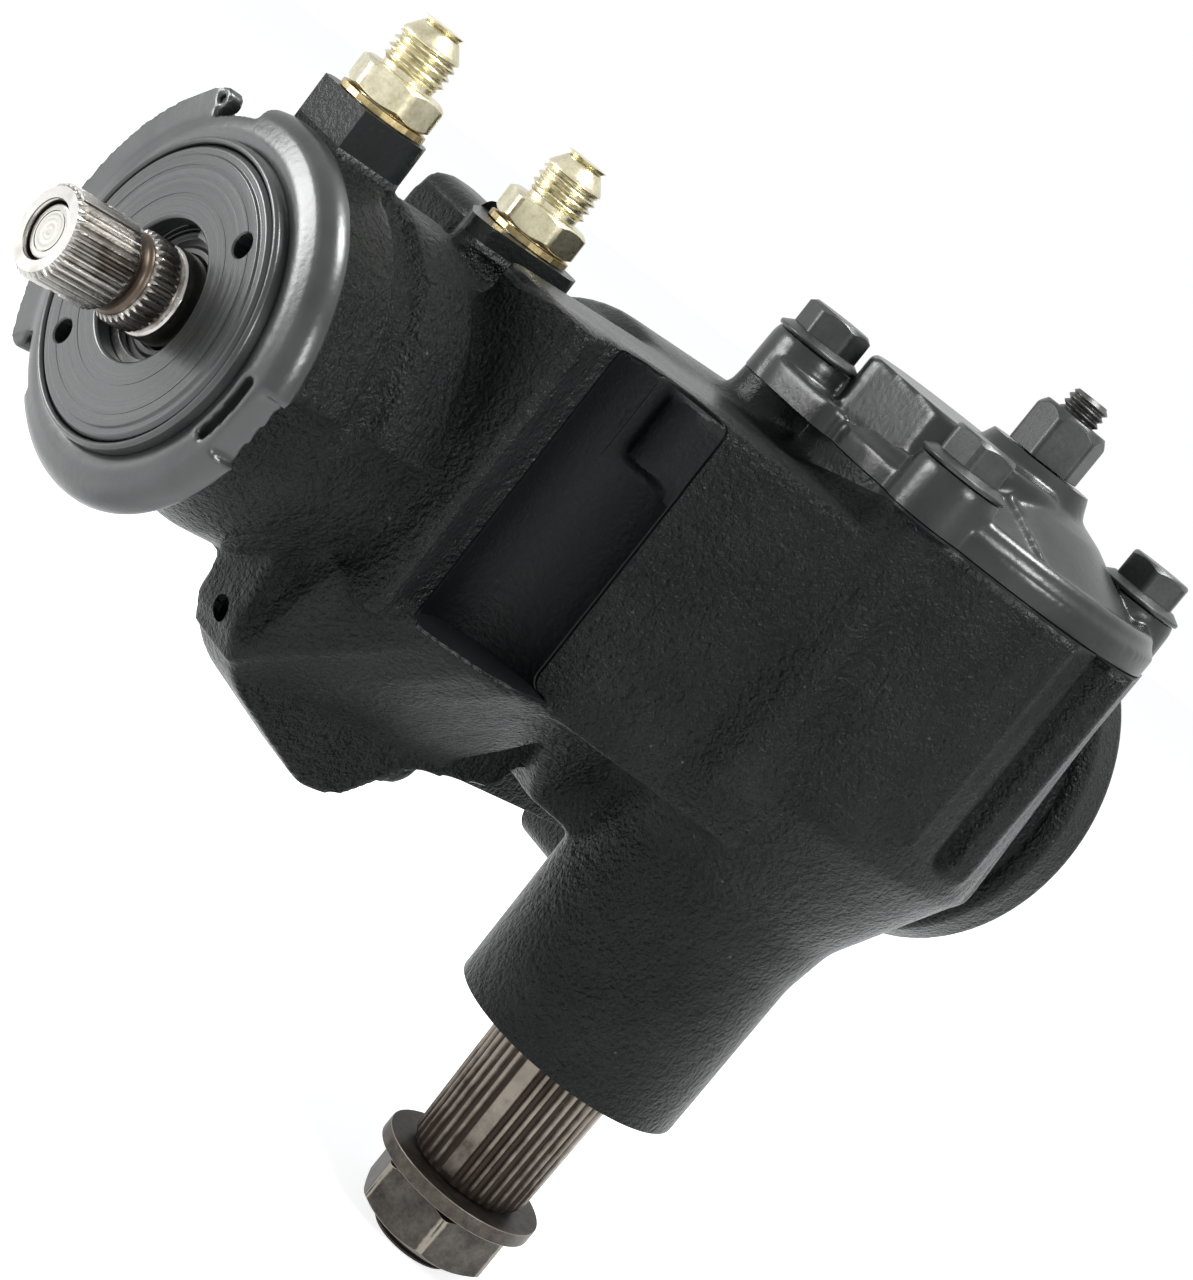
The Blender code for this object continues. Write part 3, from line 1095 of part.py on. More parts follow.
def adjuster_plug():
    profile = [(PLUG_FACE, PLUG_BORE_R), (PLUG_FACE, 26.2 * MM), (PLUG_FACE + 1.2 * MM, 27.5 * MM),
               (PLUG_FACE + 2.6 * MM, 27.5 * MM), (PLUG_FACE + 3.2 * MM, PLUG_R),
               (PLUG_REAR - GAP, PLUG_R), (PLUG_REAR - GAP, STUB_R + 1.4 * MM),
               (PLUG_REAR - 4 * MM, STUB_R + 1.4 * MM), (PLUG_REAR - 4 * MM, PLUG_BORE_R),
               (PLUG_FACE + 5.4 * MM, PLUG_BORE_R), (PLUG_FACE + 5.4 * MM, PLUG_BORE_R + 1.2 * MM),
               (PLUG_FACE + 3.6 * MM, PLUG_BORE_R + 1.2 * MM), (PLUG_FACE + 3.6 * MM, PLUG_BORE_R)]
    body = turned("plug", profile, "x", WORM_AXIS, 28)
    for turn in (radians(128.5), radians(308.5)):
        centre = (WORM_Y + SPANNER_R * cos(turn), SPANNER_R * sin(turn))
        cut(body, rod("spanner", PLUG_FACE - 2 * MM, PLUG_FACE + 6 * MM, 2.5 * MM, "x", centre, 16))
    return finish(tidy(body), "adjuster_plug", PLUG_BLACK)


def adjuster_locknut():
    """Stamped locknut: dished ring with a rolled rim, hooks and notches round it."""
    inner = PLUG_R + GAP
    front = PLUG_FACE + 0.6 * MM
    rim = PLUG_FACE + 5.5 * MM
    back = CASE_FRONT - GAP
    wide = LOCK_RIM_R - inner
    profile = [(front + 4.0 * MM, inner), (front + 1.6 * MM, inner), (front + 0.8 * MM, inner + 0.11 * wide),
               (front + 1.6 * MM, inner + 0.21 * wide), (rim - 2.4 * MM, inner + 0.32 * wide),
               (rim - 2.6 * MM, inner + 0.46 * wide), (rim - 1.4 * MM, inner + 0.78 * wide),
               (rim + 0.4 * MM, inner + 0.95 * wide), (rim + 2.2 * MM, LOCK_RIM_R),
               (back - 1.0 * MM, LOCK_RIM_R), (back, inner + 0.93 * wide), (back, inner)]
    body = turned("locknut", profile, "x", WORM_AXIS, 36)
    for turn in (radians(62), radians(186), radians(310)):
        spot = Matrix.Rotation(turn, 4, "X")
        floor_r = inner + 0.7 * wide
        notch = prism("notch", [(rim - 3 * MM, floor_r), (back + 1 * MM, floor_r),
                                (back + 1 * MM, LOCK_RIM_R + 3 * MM), (rim - 3 * MM, LOCK_RIM_R + 3 * MM)],
                      -6.5 * MM, 6.5 * MM)
        notch.data.transform(spot)
        notch.data.transform(Matrix.Translation((0, WORM_Y, 0)))
        cut(body, notch)
    return finish(tidy(body), "adjuster_locknut", LOCKNUT_BLACK)


def open_ring(name, low, high, inner, outer, opening, axis, centre, material):
    """Spring retaining ring with an open gap."""
    body = ring("open_ring", low, high, inner, outer, axis, centre, 20)
    reach = outer * 1.3
    wedge = [(0.0, 0.0)]
    for k in range(5):
        angle = opening - 0.35 + 0.7 * k / 4
        wedge.append((reach * cos(angle), reach * sin(angle)))
    wedge = [(centre[0] + u, centre[1] + v) for u, v in wedge]
    cut(body, prism("opening", wedge, low - 1 * MM, high + 1 * MM, axis))
    return finish(tidy(body), name, material)


def end_plug():
    low = COLLAR_FRONT + 1.5 * MM
    high = CLIP_LOW - GAP
    groove = PISTON_R - 2.4 * MM
    dish = high - 2.5 * MM
    body = turned("end_plug", [(low, 0), (low, PISTON_R - 0.8 * MM), (low + 0.8 * MM, PISTON_R),
                               (low + 3.0 * MM, PISTON_R), (low + 3.0 * MM, groove), (low + 5.8 * MM, groove),
                               (low + 5.8 * MM, PISTON_R), (high, PISTON_R), (high, 28 * MM),
                               (dish, 26 * MM), (dish, 0)], "x", WORM_AXIS, 28)
    return finish(tidy(body), "cylinder_end_plug", END_PLUG_STEEL)


# Port fittings

def fitting(name, x, seat):
    """Flared tube fitting: port thread, hexagon, neck, thread and 37 degree nose."""
    low = seat - PORT_DEPTH + 1.5 * MM
    base = seat + FITTING_WASHER + 2 * GAP
    hex_top = base + 6.4 * MM
    nose = base + 17.6 * MM
    thread_r = 6.6 * MM
    profile = [(low, 0), (low, PORT_THREAD_R - 0.8 * MM), (low + 0.8 * MM, PORT_THREAD_R),
               (base + 0.5 * MM, PORT_THREAD_R), (base + 0.5 * MM, 7.4 * MM), (hex_top - 0.5 * MM, 7.4 * MM),
               (hex_top - 0.5 * MM, 5.7 * MM), (hex_top + 2.6 * MM, 5.7 * MM), (hex_top + 2.9 * MM, thread_r),
               (nose - 4.2 * MM, thread_r), (nose - 3.7 * MM, 6.1 * MM), (nose - 0.7 * MM, 4.9 * MM),
               (nose, 4.2 * MM), (nose, 0)]
    body = turned("fitting", profile, "z", (x, PORT_Y), 16)
    head = prism("head", hexagon(17.5 * MM, radians(8), (x, PORT_Y)), base, hex_top)
    crown = [(base, 0), (base, 9.4 * MM), (base + 0.7 * MM, 10.2 * MM), (hex_top - 1.2 * MM, 10.2 * MM),
             (hex_top, 8.6 * MM), (hex_top, 0)]
    keep(head, turned("crown", crown, "z", (x, PORT_Y), 20))
    join(body, head)
    cut(body, rod("bore", low - 1 * MM, nose + 1 * MM, 3.4 * MM, "z", (x, PORT_Y), 16))
    return finish(tidy(body), name, FITTING_GOLD)


def fitting_washer(name, x, seat):
    body = ring("washer", seat + GAP, seat + GAP + FITTING_WASHER, PORT_THREAD_R + GAP, 9.6 * MM, "z",
                (x, PORT_Y), 20)
    return finish(body, name, COPPER)


# Build every piece, then hang the moving ones on empties at their joint axes

housing = gear_housing()
cover = side_cover()
cover_seal()
bolts = [cover_bolt(index, spot) for index, spot in enumerate(bolt_spots())]
lash_screw()
hex_nut("lash_adjuster_nut", LASH_NUT_SEAT + GAP, LASH_NUT_SEAT + GAP + 11.5 * MM, 15.9 * MM,
        BOLT_SHANK_R + GAP, LASH_NUT_BLACK, radians(22))

sector_pivot = pivot("sector_pivot", (0, 0, 0))
sector_parts = [sector_shaft(), lock_washer()]
sector_parts.append(hex_nut("arm_nut", NUT_BOTTOM, NUT_TOP, 31.5 * MM, SHAFT_THREAD_R + GAP, NUT_BROWN,
                            radians(20)))
finish(ring("upper_bearing", TRUNNION_TOP - 11 * MM, TRUNNION_TOP - 1 * MM, SHAFT_R + GAP, UPPER_BORE_R,
            "z", (0, 0), 20), "sector_upper_bearing", BEARING_STEEL)
finish(ring("lower_bearing", LOWER_BEARING_LOW, LOWER_BEARING_HIGH, SHAFT_R + GAP, BEARING_OUT,
            "z", (0, 0), 20), "sector_lower_bearing", BEARING_STEEL)
finish(ring("oil_seal", BOSS_CLIP_HIGH + 2.6 * MM, BOSS_CLIP_HIGH + 10.6 * MM, SHAFT_R + GAP, SEAL_OUT - GAP,
            "z", (0, 0), 20), "sector_oil_seal", SEAL_RUBBER)
finish(ring("seal_washer", BOSS_CLIP_HIGH + 0.4 * MM, BOSS_CLIP_HIGH + 2.2 * MM, SHAFT_R + 0.6 * MM,
            SEAL_OUT - GAP, "z", (0, 0), 20), "sector_seal_washer", PIN_STEEL)
open_ring("sector_retaining_ring", BOSS_CLIP_LOW, BOSS_CLIP_HIGH, SHAFT_R + 2.0 * MM, BOSS_CLIP_OUT,
          pi / 2, "z", (0, 0), CLIP_STEEL)

rack_pivot = pivot("rack_pivot", (0, WORM_Y, 0))
rack_parts = [rack_piston(), rack_ring(), rack_plug(), ball_guide()]
rack_parts += [ball(index) for index in range(BALL_COUNT)]

worm_pivot = pivot("worm_pivot", (0, WORM_Y, 0))
worm_parts = [worm(), valve_body()]
worm_parts += [valve_seal(index, along) for index, along in enumerate(seal_spots())]

stub_pivot = pivot("stub_pivot", (0, WORM_Y, 0))
stub_parts = [stub_shaft(), valve_spool(), torsion_bar(), torsion_pin()]

adjuster_plug()
adjuster_locknut()
finish(ring("shaft_seal", PLUG_FACE + 7.5 * MM, PLUG_FACE + 12.7 * MM, STUB_R + GAP, PLUG_BORE_R - GAP,
            "x", WORM_AXIS, 16), "input_shaft_seal", SEAL_RUBBER)
finish(ring("dust_seal", PLUG_FACE + 5.7 * MM, PLUG_FACE + 7.2 * MM, STUB_R + GAP, PLUG_BORE_R - GAP,
            "x", WORM_AXIS, 16), "input_dust_seal", SEAL_RUBBER)
open_ring("plug_retaining_ring", PLUG_FACE + 3.9 * MM, PLUG_FACE + 5.1 * MM, STUB_R + 3.0 * MM,
          PLUG_BORE_R + 0.9 * MM, radians(60), "x", WORM_AXIS, CLIP_STEEL)
finish(ring("needle_bearing", PLUG_FACE + 13 * MM, PLUG_REAR - 4.4 * MM, STUB_R + GAP, PLUG_BORE_R - GAP,
            "x", WORM_AXIS, 16), "plug_needle_bearing", BEARING_STEEL)
race = WORM_HEAD_REAR + GAP
finish(ring("lower_race", race, race + RACE_THICK, WORM_NECK_R + GAP, THRUST_R, "x", WORM_AXIS, 20),
       "lower_thrust_race", RACE_STEEL)
needles = race + RACE_THICK + GAP
finish(ring("lower_needles", needles, needles + NEEDLE_THICK, WORM_NECK_R + GAP, THRUST_R, "x", WORM_AXIS, 20),
       "lower_thrust_bearing", BEARING_STEEL)
race = PLUG_REAR
finish(ring("upper_race", race, race + RACE_THICK, STUB_INNER_R + GAP, THRUST_R, "x", WORM_AXIS, 20),
       "upper_thrust_race", RACE_STEEL)
needles = race + RACE_THICK + GAP
finish(ring("upper_needles", needles, BODY_FRONT - GAP, STUB_INNER_R + GAP, THRUST_R, "x", WORM_AXIS, 20),
       "upper_thrust_bearing", BEARING_STEEL)
end_plug()
finish(cord_ring("end_seal", COLLAR_FRONT + 1.5 * MM + 4.4 * MM, PISTON_R - 1.0 * MM, 1.05 * MM, "x", WORM_AXIS),
       "end_plug_seal", SEAL_RUBBER)
open_ring("end_retaining_ring", CLIP_LOW, CLIP_HIGH, PISTON_R - 2.6 * MM, CLIP_OUT, radians(200), "x",
          WORM_AXIS, CLIP_STEEL)
fitting("pressure_fitting", PORT_1_X, PORT_1_TOP)
fitting("return_fitting", PORT_2_X, PORT_2_TOP)
fitting_washer("pressure_fitting_washer", PORT_1_X, PORT_1_TOP)
fitting_washer("return_fitting_washer", PORT_2_X, PORT_2_TOP)

for part in sector_parts:
    hang(part, sector_pivot)
for part in rack_parts:
    hang(part, rack_pivot)
for part in worm_parts:
    hang(part, worm_pivot)
for part in stub_parts:
    hang(part, stub_pivot)

# The finished gearbox is moved so that its origin lies on the frame face, above the rear hole
ORIGIN = Vector((MOUNT_SPOTS[0][1], FRAME_FACE, MOUNT_SPOTS[0][0] + ORIGIN_RISE))
for part in bpy.data.objects:
    if part.parent is None:
        part.location -= ORIGIN
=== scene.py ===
"""Power steering gearbox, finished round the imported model.

Shapes are drawn in millimetres from the sector shaft's axis at the height of the worm:
+Z runs up through the side cover, +X runs along the worm away from the input shaft and
+Y points to the frame rail. settle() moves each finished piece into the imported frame.
"""
import json
from math import cos, floor, pi, radians, sin, sqrt

import bmesh
import bpy
from mathutils import Matrix, Vector


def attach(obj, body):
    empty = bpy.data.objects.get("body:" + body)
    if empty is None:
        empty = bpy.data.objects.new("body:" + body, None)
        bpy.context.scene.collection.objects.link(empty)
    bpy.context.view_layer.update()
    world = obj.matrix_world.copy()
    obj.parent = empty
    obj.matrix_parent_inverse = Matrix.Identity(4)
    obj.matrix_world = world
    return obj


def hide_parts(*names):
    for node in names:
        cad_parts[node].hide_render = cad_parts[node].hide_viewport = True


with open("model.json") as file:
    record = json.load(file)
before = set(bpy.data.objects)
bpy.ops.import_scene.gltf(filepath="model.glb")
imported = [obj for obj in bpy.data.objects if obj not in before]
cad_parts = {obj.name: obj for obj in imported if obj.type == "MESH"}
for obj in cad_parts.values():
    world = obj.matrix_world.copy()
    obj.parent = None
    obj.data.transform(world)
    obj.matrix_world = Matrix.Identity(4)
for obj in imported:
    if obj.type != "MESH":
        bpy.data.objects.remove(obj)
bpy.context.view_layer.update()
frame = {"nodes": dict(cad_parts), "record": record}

MM = 0.001
PLAY = 0.3                  # clearance between pieces that touch
SHIFT = Vector((-63.0, -99.0, 51.0)) * MM
WORM_Y = 52.0
WORM_AXIS = (WORM_Y, 0.0)

# Housing
VALVE_CASE_R = 37.2
PISTON_CASE_R = 45.5
BOWL_R = 44.0
BOSS_R = 29.3
BOSS_BOTTOM = -89.3
COVER_SEAT = 51.6
CASE_FRONT = -160.5
COLLAR_FRONT = 93.9
CASE_REAR = 107.8
COLLAR_R = 49.9
FRAME_FACE = 99.0
PISTON_R = 37.8
BORE_START = -65.92
VALVE_BORE_R = 27.3
PLUG_R = 30.0
PLUG_FACE = -171.3
PLUG_REAR = -141.5
CAVITY_R = 35.2
SCALLOP_SPOT = (-93.6, -0.9)
SCALLOP_R = 16.4

# Cover, bolts and lash adjuster
BOLT_SPOTS = ((-35.8, 37.0), (-35.8, -15.6), (35.8, -15.6), (35.8, 37.0))
BOLT_TURNS = (12, -20, 34, 5)
BOLT_SEAT = 62.9
BOLT_R = 4.7
LASH_SEAT = 73.9
LASH_TOP = 91.0

# Input end and sector end
STUB_R = 9.525
STUB_TIP = -197.3
LOCK_RIM_R = 41.5
SPANNER_R = 23.7
SPLINE_TOP = -87.5
SPLINE_BOTTOM = -126.5
NUT_TOP = -130.9
NUT_BOTTOM = -143.5
SHAFT_TIP = -147.0
PORT_Y = 55.5
PORTS = ((-150.3, 50.5), (-102.4, 45.8))


# Meshes: outlines, turned and extruded solids, cuts and joins

def mesh_object(name, verts, faces):
    mesh = bpy.data.meshes.new(name)
    mesh.from_pydata([Vector(v) * MM for v in verts], [], faces)
    work = bmesh.new()
    work.from_mesh(mesh)
    bmesh.ops.recalc_face_normals(work, faces=work.faces)
    work.to_mesh(mesh)
    work.free()
    return link(name, mesh)


def link(name, mesh):
    piece = bpy.data.objects.new(name, mesh)
    bpy.context.scene.collection.objects.link(piece)
    return piece


def on_axis(axis, along, u, v):
    return {"x": (along, u, v), "y": (v, along, u), "z": (u, v, along)}[axis]


def tapered(low_outline, high_outline, low, high):
    """A solid between two outlines of as many points, at two heights."""
    count = len(low_outline)
    verts = [(u, v, low) for u, v in low_outline] + [(u, v, high) for u, v in high_outline]
    faces = [tuple(range(count)), tuple(range(count, 2 * count))]
    faces += [(k, (k + 1) % count, count + (k + 1) % count, count + k) for k in range(count)]
    return mesh_object("tapered", verts, faces)


def eased(points, radius, steps=3, closed=False):
    """Round the corners of a line of points by small arcs."""
    count = len(points)
    out = []
    for k, point in enumerate(points):
        here = Vector(point)
        if not closed and k in (0, count - 1):
            out.append(tuple(here))
            continue
        back = Vector(points[k - 1]) - here
        ahead = Vector(points[(k + 1) % count]) - here
        reach = min(radius, 0.45 * back.length, 0.45 * ahead.length)
        first = here + back.normalized() * reach
        last = here + ahead.normalized() * reach
        for s in range(steps + 1):
            t = s / steps
            spot = first * (1 - t) ** 2 + here * 2 * t * (1 - t) + last * t ** 2
            out.append(tuple(spot))
    return out


def turned(profile, axis="z", centre=(0, 0), sides=64, ease=0.0, start=0.01):
    """Turn (along, radius) points; a profile off the axis closes into a ring."""
    solid = profile[0][1] == 0
    if ease:
        profile = eased(profile, ease, closed=not solid)
    verts = []
    rings = []
    for along, radius in profile:
        if radius < 1e-6:
            rings.append([len(verts)] * sides)
            verts.append(on_axis(axis, along, *centre))
            continue
        rings.append([len(verts) + k for k in range(sides)])
        for k in range(sides):
            angle = start + 2 * pi * k / sides
            verts.append(on_axis(axis, along, centre[0] + radius * cos(angle),
                                 centre[1] + radius * sin(angle)))
    faces = []
    count = len(rings) - 1 if solid else len(rings)
    for i in range(count):
        a, b = rings[i], rings[(i + 1) % len(rings)]
        for k in range(sides):
            n = (k + 1) % sides
            face = list(dict.fromkeys((a[k], a[n], b[n], b[k])))
            if len(face) > 2:
                faces.append(face)
    return mesh_object("turned", verts, faces)


def rod(low, high, radius, axis="z", centre=(0, 0), sides=48, ease=0.0):
    return turned([(low, 0), (low, radius), (high, radius), (high, 0)], axis, centre, sides, ease)


def prism(outline, low, high, axis="z", ease=0.0):
    if ease:
        outline = eased(outline, ease, 5, True)
    count = len(outline)
    verts = [on_axis(axis, low, u, v) for u, v in outline]
    verts += [on_axis(axis, high, u, v) for u, v in outline]
    faces = [tuple(range(count)), tuple(range(count, 2 * count))]
    faces += [(k, (k + 1) % count, count + (k + 1) % count, count + k) for k in range(count)]
    return mesh_object("prism", verts, faces)


def box(low, high):
    outline = [(low[0], low[1]), (high[0], low[1]), (high[0], high[1]), (low[0], high[1])]
    return prism(outline, low[2], high[2])


def hexagon(flats, turn=0.0, centre=(0, 0), ease=0.0):
    radius = flats / sqrt(3)
    points = [(centre[0] + radius * cos(turn + pi / 3 * k), centre[1] + radius * sin(turn + pi / 3 * k))
              for k in range(6)]
    return eased(points, ease, 3, True) if ease else points


def bead(start, end, radius, sides=10):
    """A straight raised line of round section between two places."""
    body = turned([(0, 0), (0, radius), (1, radius), (1, 0)], "z", (0, 0), sides)
    reach = (Vector(end) - Vector(start))
    spin = reach.to_track_quat("Z", "Y").to_matrix().to_4x4()
    stretch = Matrix.Diagonal((1, 1, reach.length, 1))
    body.data.transform(Matrix.Translation(Vector(start) * MM) @ spin @ stretch)
    return body


def round_worm(u, v):
    """A place at (u toward the frame, v up) from the worm axis."""
    return (WORM_Y + u, v)


def arc(radius, first, last, steps=40):
    """Points round the worm axis between two angles in degrees."""
    angles = [radians(first + (last - first) * k / steps) for k in range(steps + 1)]
    return [round_worm(radius * cos(a), radius * sin(a)) for a in angles]


def evaluated(piece):
    bpy.context.view_layer.update()
    mesh = bpy.data.meshes.new_from_object(piece.evaluated_get(bpy.context.evaluated_depsgraph_get()))
    piece.modifiers.clear()
    piece.data = mesh
    return piece


def boolean(piece, other, operation):
    tool = piece.modifiers.new("shape", "BOOLEAN")
    tool.operation = operation
    tool.solver = "EXACT"
    tool.object = other
    evaluated(piece)
    bpy.data.objects.remove(other, do_unlink=True)
    return piece


def join(piece, *others):
    for other in others:
        boolean(piece, other, "UNION")
    return piece


def cut(piece, *others):
    if not others:
        return piece
    return boolean(piece, join(*others), "DIFFERENCE")


def keep(piece, other):
    return boolean(piece, other, "INTERSECT")


def lay_in(piece, *others):
    """Put separate closed shells into one mesh."""
    work = bmesh.new()
    for each in (piece, *others):
        work.from_mesh(each.data)
    work.to_mesh(piece.data)
    work.free()
    for other in others:
        bpy.data.objects.remove(other, do_unlink=True)
    return piece


def melt(piece, voxel, passes):
    """Remesh joined solids finely and smooth their seams into the fillets of a casting."""
    remesh = piece.modifiers.new("melt", "REMESH")
    remesh.mode = "VOXEL"
    remesh.voxel_size = voxel * MM
    smooth = piece.modifiers.new("fillet", "SMOOTH")
    smooth.factor = 0.5
    smooth.iterations = passes
    return evaluated(piece)


def bevel(piece, width, angle=28, segments=2):
    tool = piece.modifiers.new("edges", "BEVEL")
    tool.width = width * MM
    tool.segments = segments
    tool.limit_method = "ANGLE"
    tool.angle_limit = radians(angle)
    tool.harden_normals = False
    return evaluated(piece)


def moved(piece, matrix):
    piece.data.transform(matrix)
    return piece


def shade(piece, angle):
    """Smooth shading, but creases stay sharp and flats stay flat."""
    work = bmesh.new()
    work.from_mesh(piece.data)
    bmesh.ops.remove_doubles(work, verts=work.verts, dist=0.002 * MM)
    bmesh.ops.dissolve_degenerate(work, edges=work.edges, dist=0.002 * MM)
    work.to_mesh(piece.data)
    work.free()
    piece.data.shade_smooth()
    piece.data.set_sharp_from_angle(angle=radians(angle))
    weigh = piece.modifiers.new("flats", "WEIGHTED_NORMAL")
    weigh.keep_sharp = True
    return evaluated(piece)


def settle(piece, name, body, slot, nodes, angle=32):
    """Name a finished piece, dress it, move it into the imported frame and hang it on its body."""
    piece.name = name
    shade(piece, angle)
    piece.data.name = name
    piece.data.transform(Matrix.Translation(SHIFT))
    piece.data.materials.clear()
    piece.data.materials.append(FINISHES[slot])
    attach(piece, body)
    if nodes:
        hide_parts(*nodes)
    return piece


# Node trees written as expressions

class Wire:
    """A value inside a node tree; arithmetic on it adds Math nodes."""

    def __init__(self, web, socket):
        self.web = web
        self.socket = socket

    def math(self, operation, first, second=None, third=None):
        values = {k: v for k, v in enumerate((first, second, third)) if v is not None}
        return self.web.node("ShaderNodeMath", {"operation": operation}, values)

    def __add__(self, other):
        return self.math("ADD", self, other)

    __radd__ = __add__

    def __sub__(self, other):
        return self.math("SUBTRACT", self, other)

    def __rsub__(self, other):
        return self.math("SUBTRACT", other, self)

    def __mul__(self, other):
        return self.math("MULTIPLY", self, other)

    __rmul__ = __mul__

    def __truediv__(self, other):
        return self.math("DIVIDE", self, other)

    def __rtruediv__(self, other):
        return self.math("DIVIDE", other, self)

    def __gt__(self, other):
        return self.math("GREATER_THAN", self, other)

    def __lt__(self, other):
        return self.math("LESS_THAN", self, other)

    def __abs__(self):
        return self.math("ABSOLUTE", self)

    def fraction(self):
        return self.math("FRACT", self)

    def parts(self):
        """The x, y and z of a vector."""
        made = self.web.tree.nodes.new("ShaderNodeSeparateXYZ")
        self.web.feed(made.inputs[0], self)
        return [Wire(self.web, socket) for socket in made.outputs]

    def low(self, other):
        return self.math("MINIMUM", self, other)

    def high(self, other):
        return self.math("MAXIMUM", self, other)

    def between(self, low, high):
        """0 below low, 1 above high and an even slope between them."""
        return ((self - low) / (high - low)).low(1.0).high(0.0)


class Web:
    """A node tree being filled in."""

    def __init__(self, tree):
        self.tree = tree

    def node(self, kind, settings=None, values=None, output=0):
        made = self.tree.nodes.new(kind)
        for key, value in (settings or {}).items():
            if key == "stops":
                self.stops(made.color_ramp, value)
            else:
                setattr(made, key, value)
        for key, value in (values or {}).items():
            self.feed(made.inputs[key], value)
        return Wire(self, made.outputs[output])

    def feed(self, socket, value):
        if isinstance(value, Wire):
            self.tree.links.new(value.socket, socket)
        else:
            socket.default_value = value

    def stops(self, ramp, stops):
        while len(ramp.elements) < len(stops):
            ramp.elements.new(0.5)
        for element, (place, colour) in zip(ramp.elements, stops):
            element.position = place
            element.color = rgba(colour)

    def vector(self, operation, first, second=None, scale=None, output=0):
        values = {0: first}
        if second is not None:
            values[1] = second
        if scale is not None:
            values["Scale"] = scale
        return self.node("ShaderNodeVectorMath", {"operation": operation}, values, output)

    def mix(self, share, first, second):
        settings = {"data_type": "RGBA", "clamp_factor": True}
        pair = [v if isinstance(v, Wire) else rgba(v) for v in (first, second)]
        return self.node("ShaderNodeMix", settings, {0: share, 6: pair[0], 7: pair[1]}, 2)

    def place(self):
        """The place on the object, in millimetres of the drawing."""
        spot = self.node("ShaderNodeTexCoord", output="Object")
        drawn = self.vector("SUBTRACT", spot, tuple(SHIFT))
        return self.vector("SCALE", drawn, scale=1 / MM)

    def noise(self, place, size, detail=2.0, rough=0.5):
        """Noise whose lumps are about size millimetres across."""
        return self.node("ShaderNodeTexNoise", {"noise_dimensions": "3D"},
                         {"Vector": place, "Scale": 1 / size, "Detail": detail, "Roughness": rough})

    def specks(self, place, size):
        """Distance to the nearest of scattered points, in units of size."""
        return self.node("ShaderNodeTexVoronoi", {"voronoi_dimensions": "3D"},
                         {"Vector": place, "Scale": 1 / size})

    def bump(self, height, depth, strength=1.0):
        return self.node("ShaderNodeBump", None, {"Strength": strength, "Distance": depth * MM,
                                                  "Height": height})

    def off_axis(self, place, axis, centre=(0, 0)):
        """Distance from an axis that runs along x or z."""
        apart = self.vector("SUBTRACT", place, on_axis(axis, 0, *centre))
        flat = self.vector("MULTIPLY", apart, on_axis(axis, 0, 1, 1))
        return self.vector("LENGTH", flat, output="Value")


def rgba(colour):
    return (*colour, 1.0) if len(colour) == 3 else colour


FINISHES = {}


def finish(name, web_maker, **constants):
    """A surface finish: constants sit on the shader, web_maker links what varies."""
    material = bpy.data.materials.new(name)
    material.use_nodes = True
    web = Web(material.node_tree)
    shader = material.node_tree.nodes["Principled BSDF"]
    for key, value in constants.items():
        socket = shader.inputs[key.replace("_", " ")]
        socket.default_value = rgba(value) if isinstance(value, tuple) else value
    for key, value in web_maker(web, web.place()).items():
        web.feed(shader.inputs[key], value)
    FINISHES[name] = material
    return material


# Surface finishes

def sand_cast(black, pale, depth):
    """Semi-gloss black paint over a sand-cast skin, smoother where a tool or a core has been; the scallop is
    painted near-black as painted shade and the machined band below the cover is painted paler as painted
    sheen.
    """
    def fill(web, place):
        grain = web.noise(place, 1.15, 3.0, 0.62)
        lumps = web.noise(place, 3.4, 2.0)
        cloud = web.noise(place, 15.0, 3.0)
        speck = web.specks(place, 6.0) < 0.05
        cored_and_shaded, ground_and_sheen = smooth_places(web, place)
        rough = 1.0 - cored_and_shaded.high(ground_and_sheen) * 0.88
        # Random cloudy tone; the machined band's tone is painted paler here, a painted sheen.
        tone = web.mix(cloud.between(0.35, 0.7) * 0.7 + ground_and_sheen * 0.5, black, pale)
        # The scallop is painted near-black here: painted shade.
        tone = web.mix(cored_and_shaded, tone, SCALLOP_PAINTED_SHADE)
        colour = web.mix(speck * (cloud > 0.5) * rough, tone, (0.06, 0.065, 0.065))
        height = (grain * 0.9 + lumps * 0.6) * rough - parting_line(place) * 0.12
        return {"Base Color": colour, "Roughness": 0.27 - cloud * 0.08 + grain * 0.12 + cored_and_shaded * 0.2,
                "Normal": web.bump(height, depth)}
    return fill


def smooth_places(web, place):
    """1 in the scallop left smooth by its core, whose colour is painted dark as painted shade, and 1 on the
    machined band below the cover's joint, smooth and painted paler as painted sheen.
    """
    x, y, z = place.parts()
    scallop_side = web.off_axis(place, "z", SCALLOP_SPOT).between(SCALLOP_R + 0.7, SCALLOP_R + 0.3)
    band_low = COVER_SEAT - 1.0 - ((y + 12.0) / 40.0).high(0.0).low(1.0) * 9.0
    band = z.between(band_low - 1.0, band_low + 0.5)
    above_floor = z.between(-21.6, -21.0)
    return scallop_side * above_floor, band


def parting_line(place):
    """A narrow step round the bowl where the two halves of the mould met."""
    x, y, z = place.parts()
    return abs(z + 2.5).between(0.55, 0.2) * x.between(-56.0, -54.0) * y.between(-8.0, -10.0)


def smooth_paint(black, pale, rough):
    """Black paint over a machined or pressed face: a soft sheen with slight ripples."""
    def fill(web, place):
        ripple = web.noise(place, 1.6, 2.0)
        cloud = web.noise(place, 11.0, 3.0)
        scuff = web.noise(place, 0.5, 4.0, 0.7).between(0.62, 0.74)
        colour = web.mix(cloud.between(0.3, 0.75), black, pale)
        return {"Base Color": colour, "Roughness": rough + cloud * 0.12 + scuff * 0.1,
                "Normal": web.bump(ripple, 0.05)}
    return fill


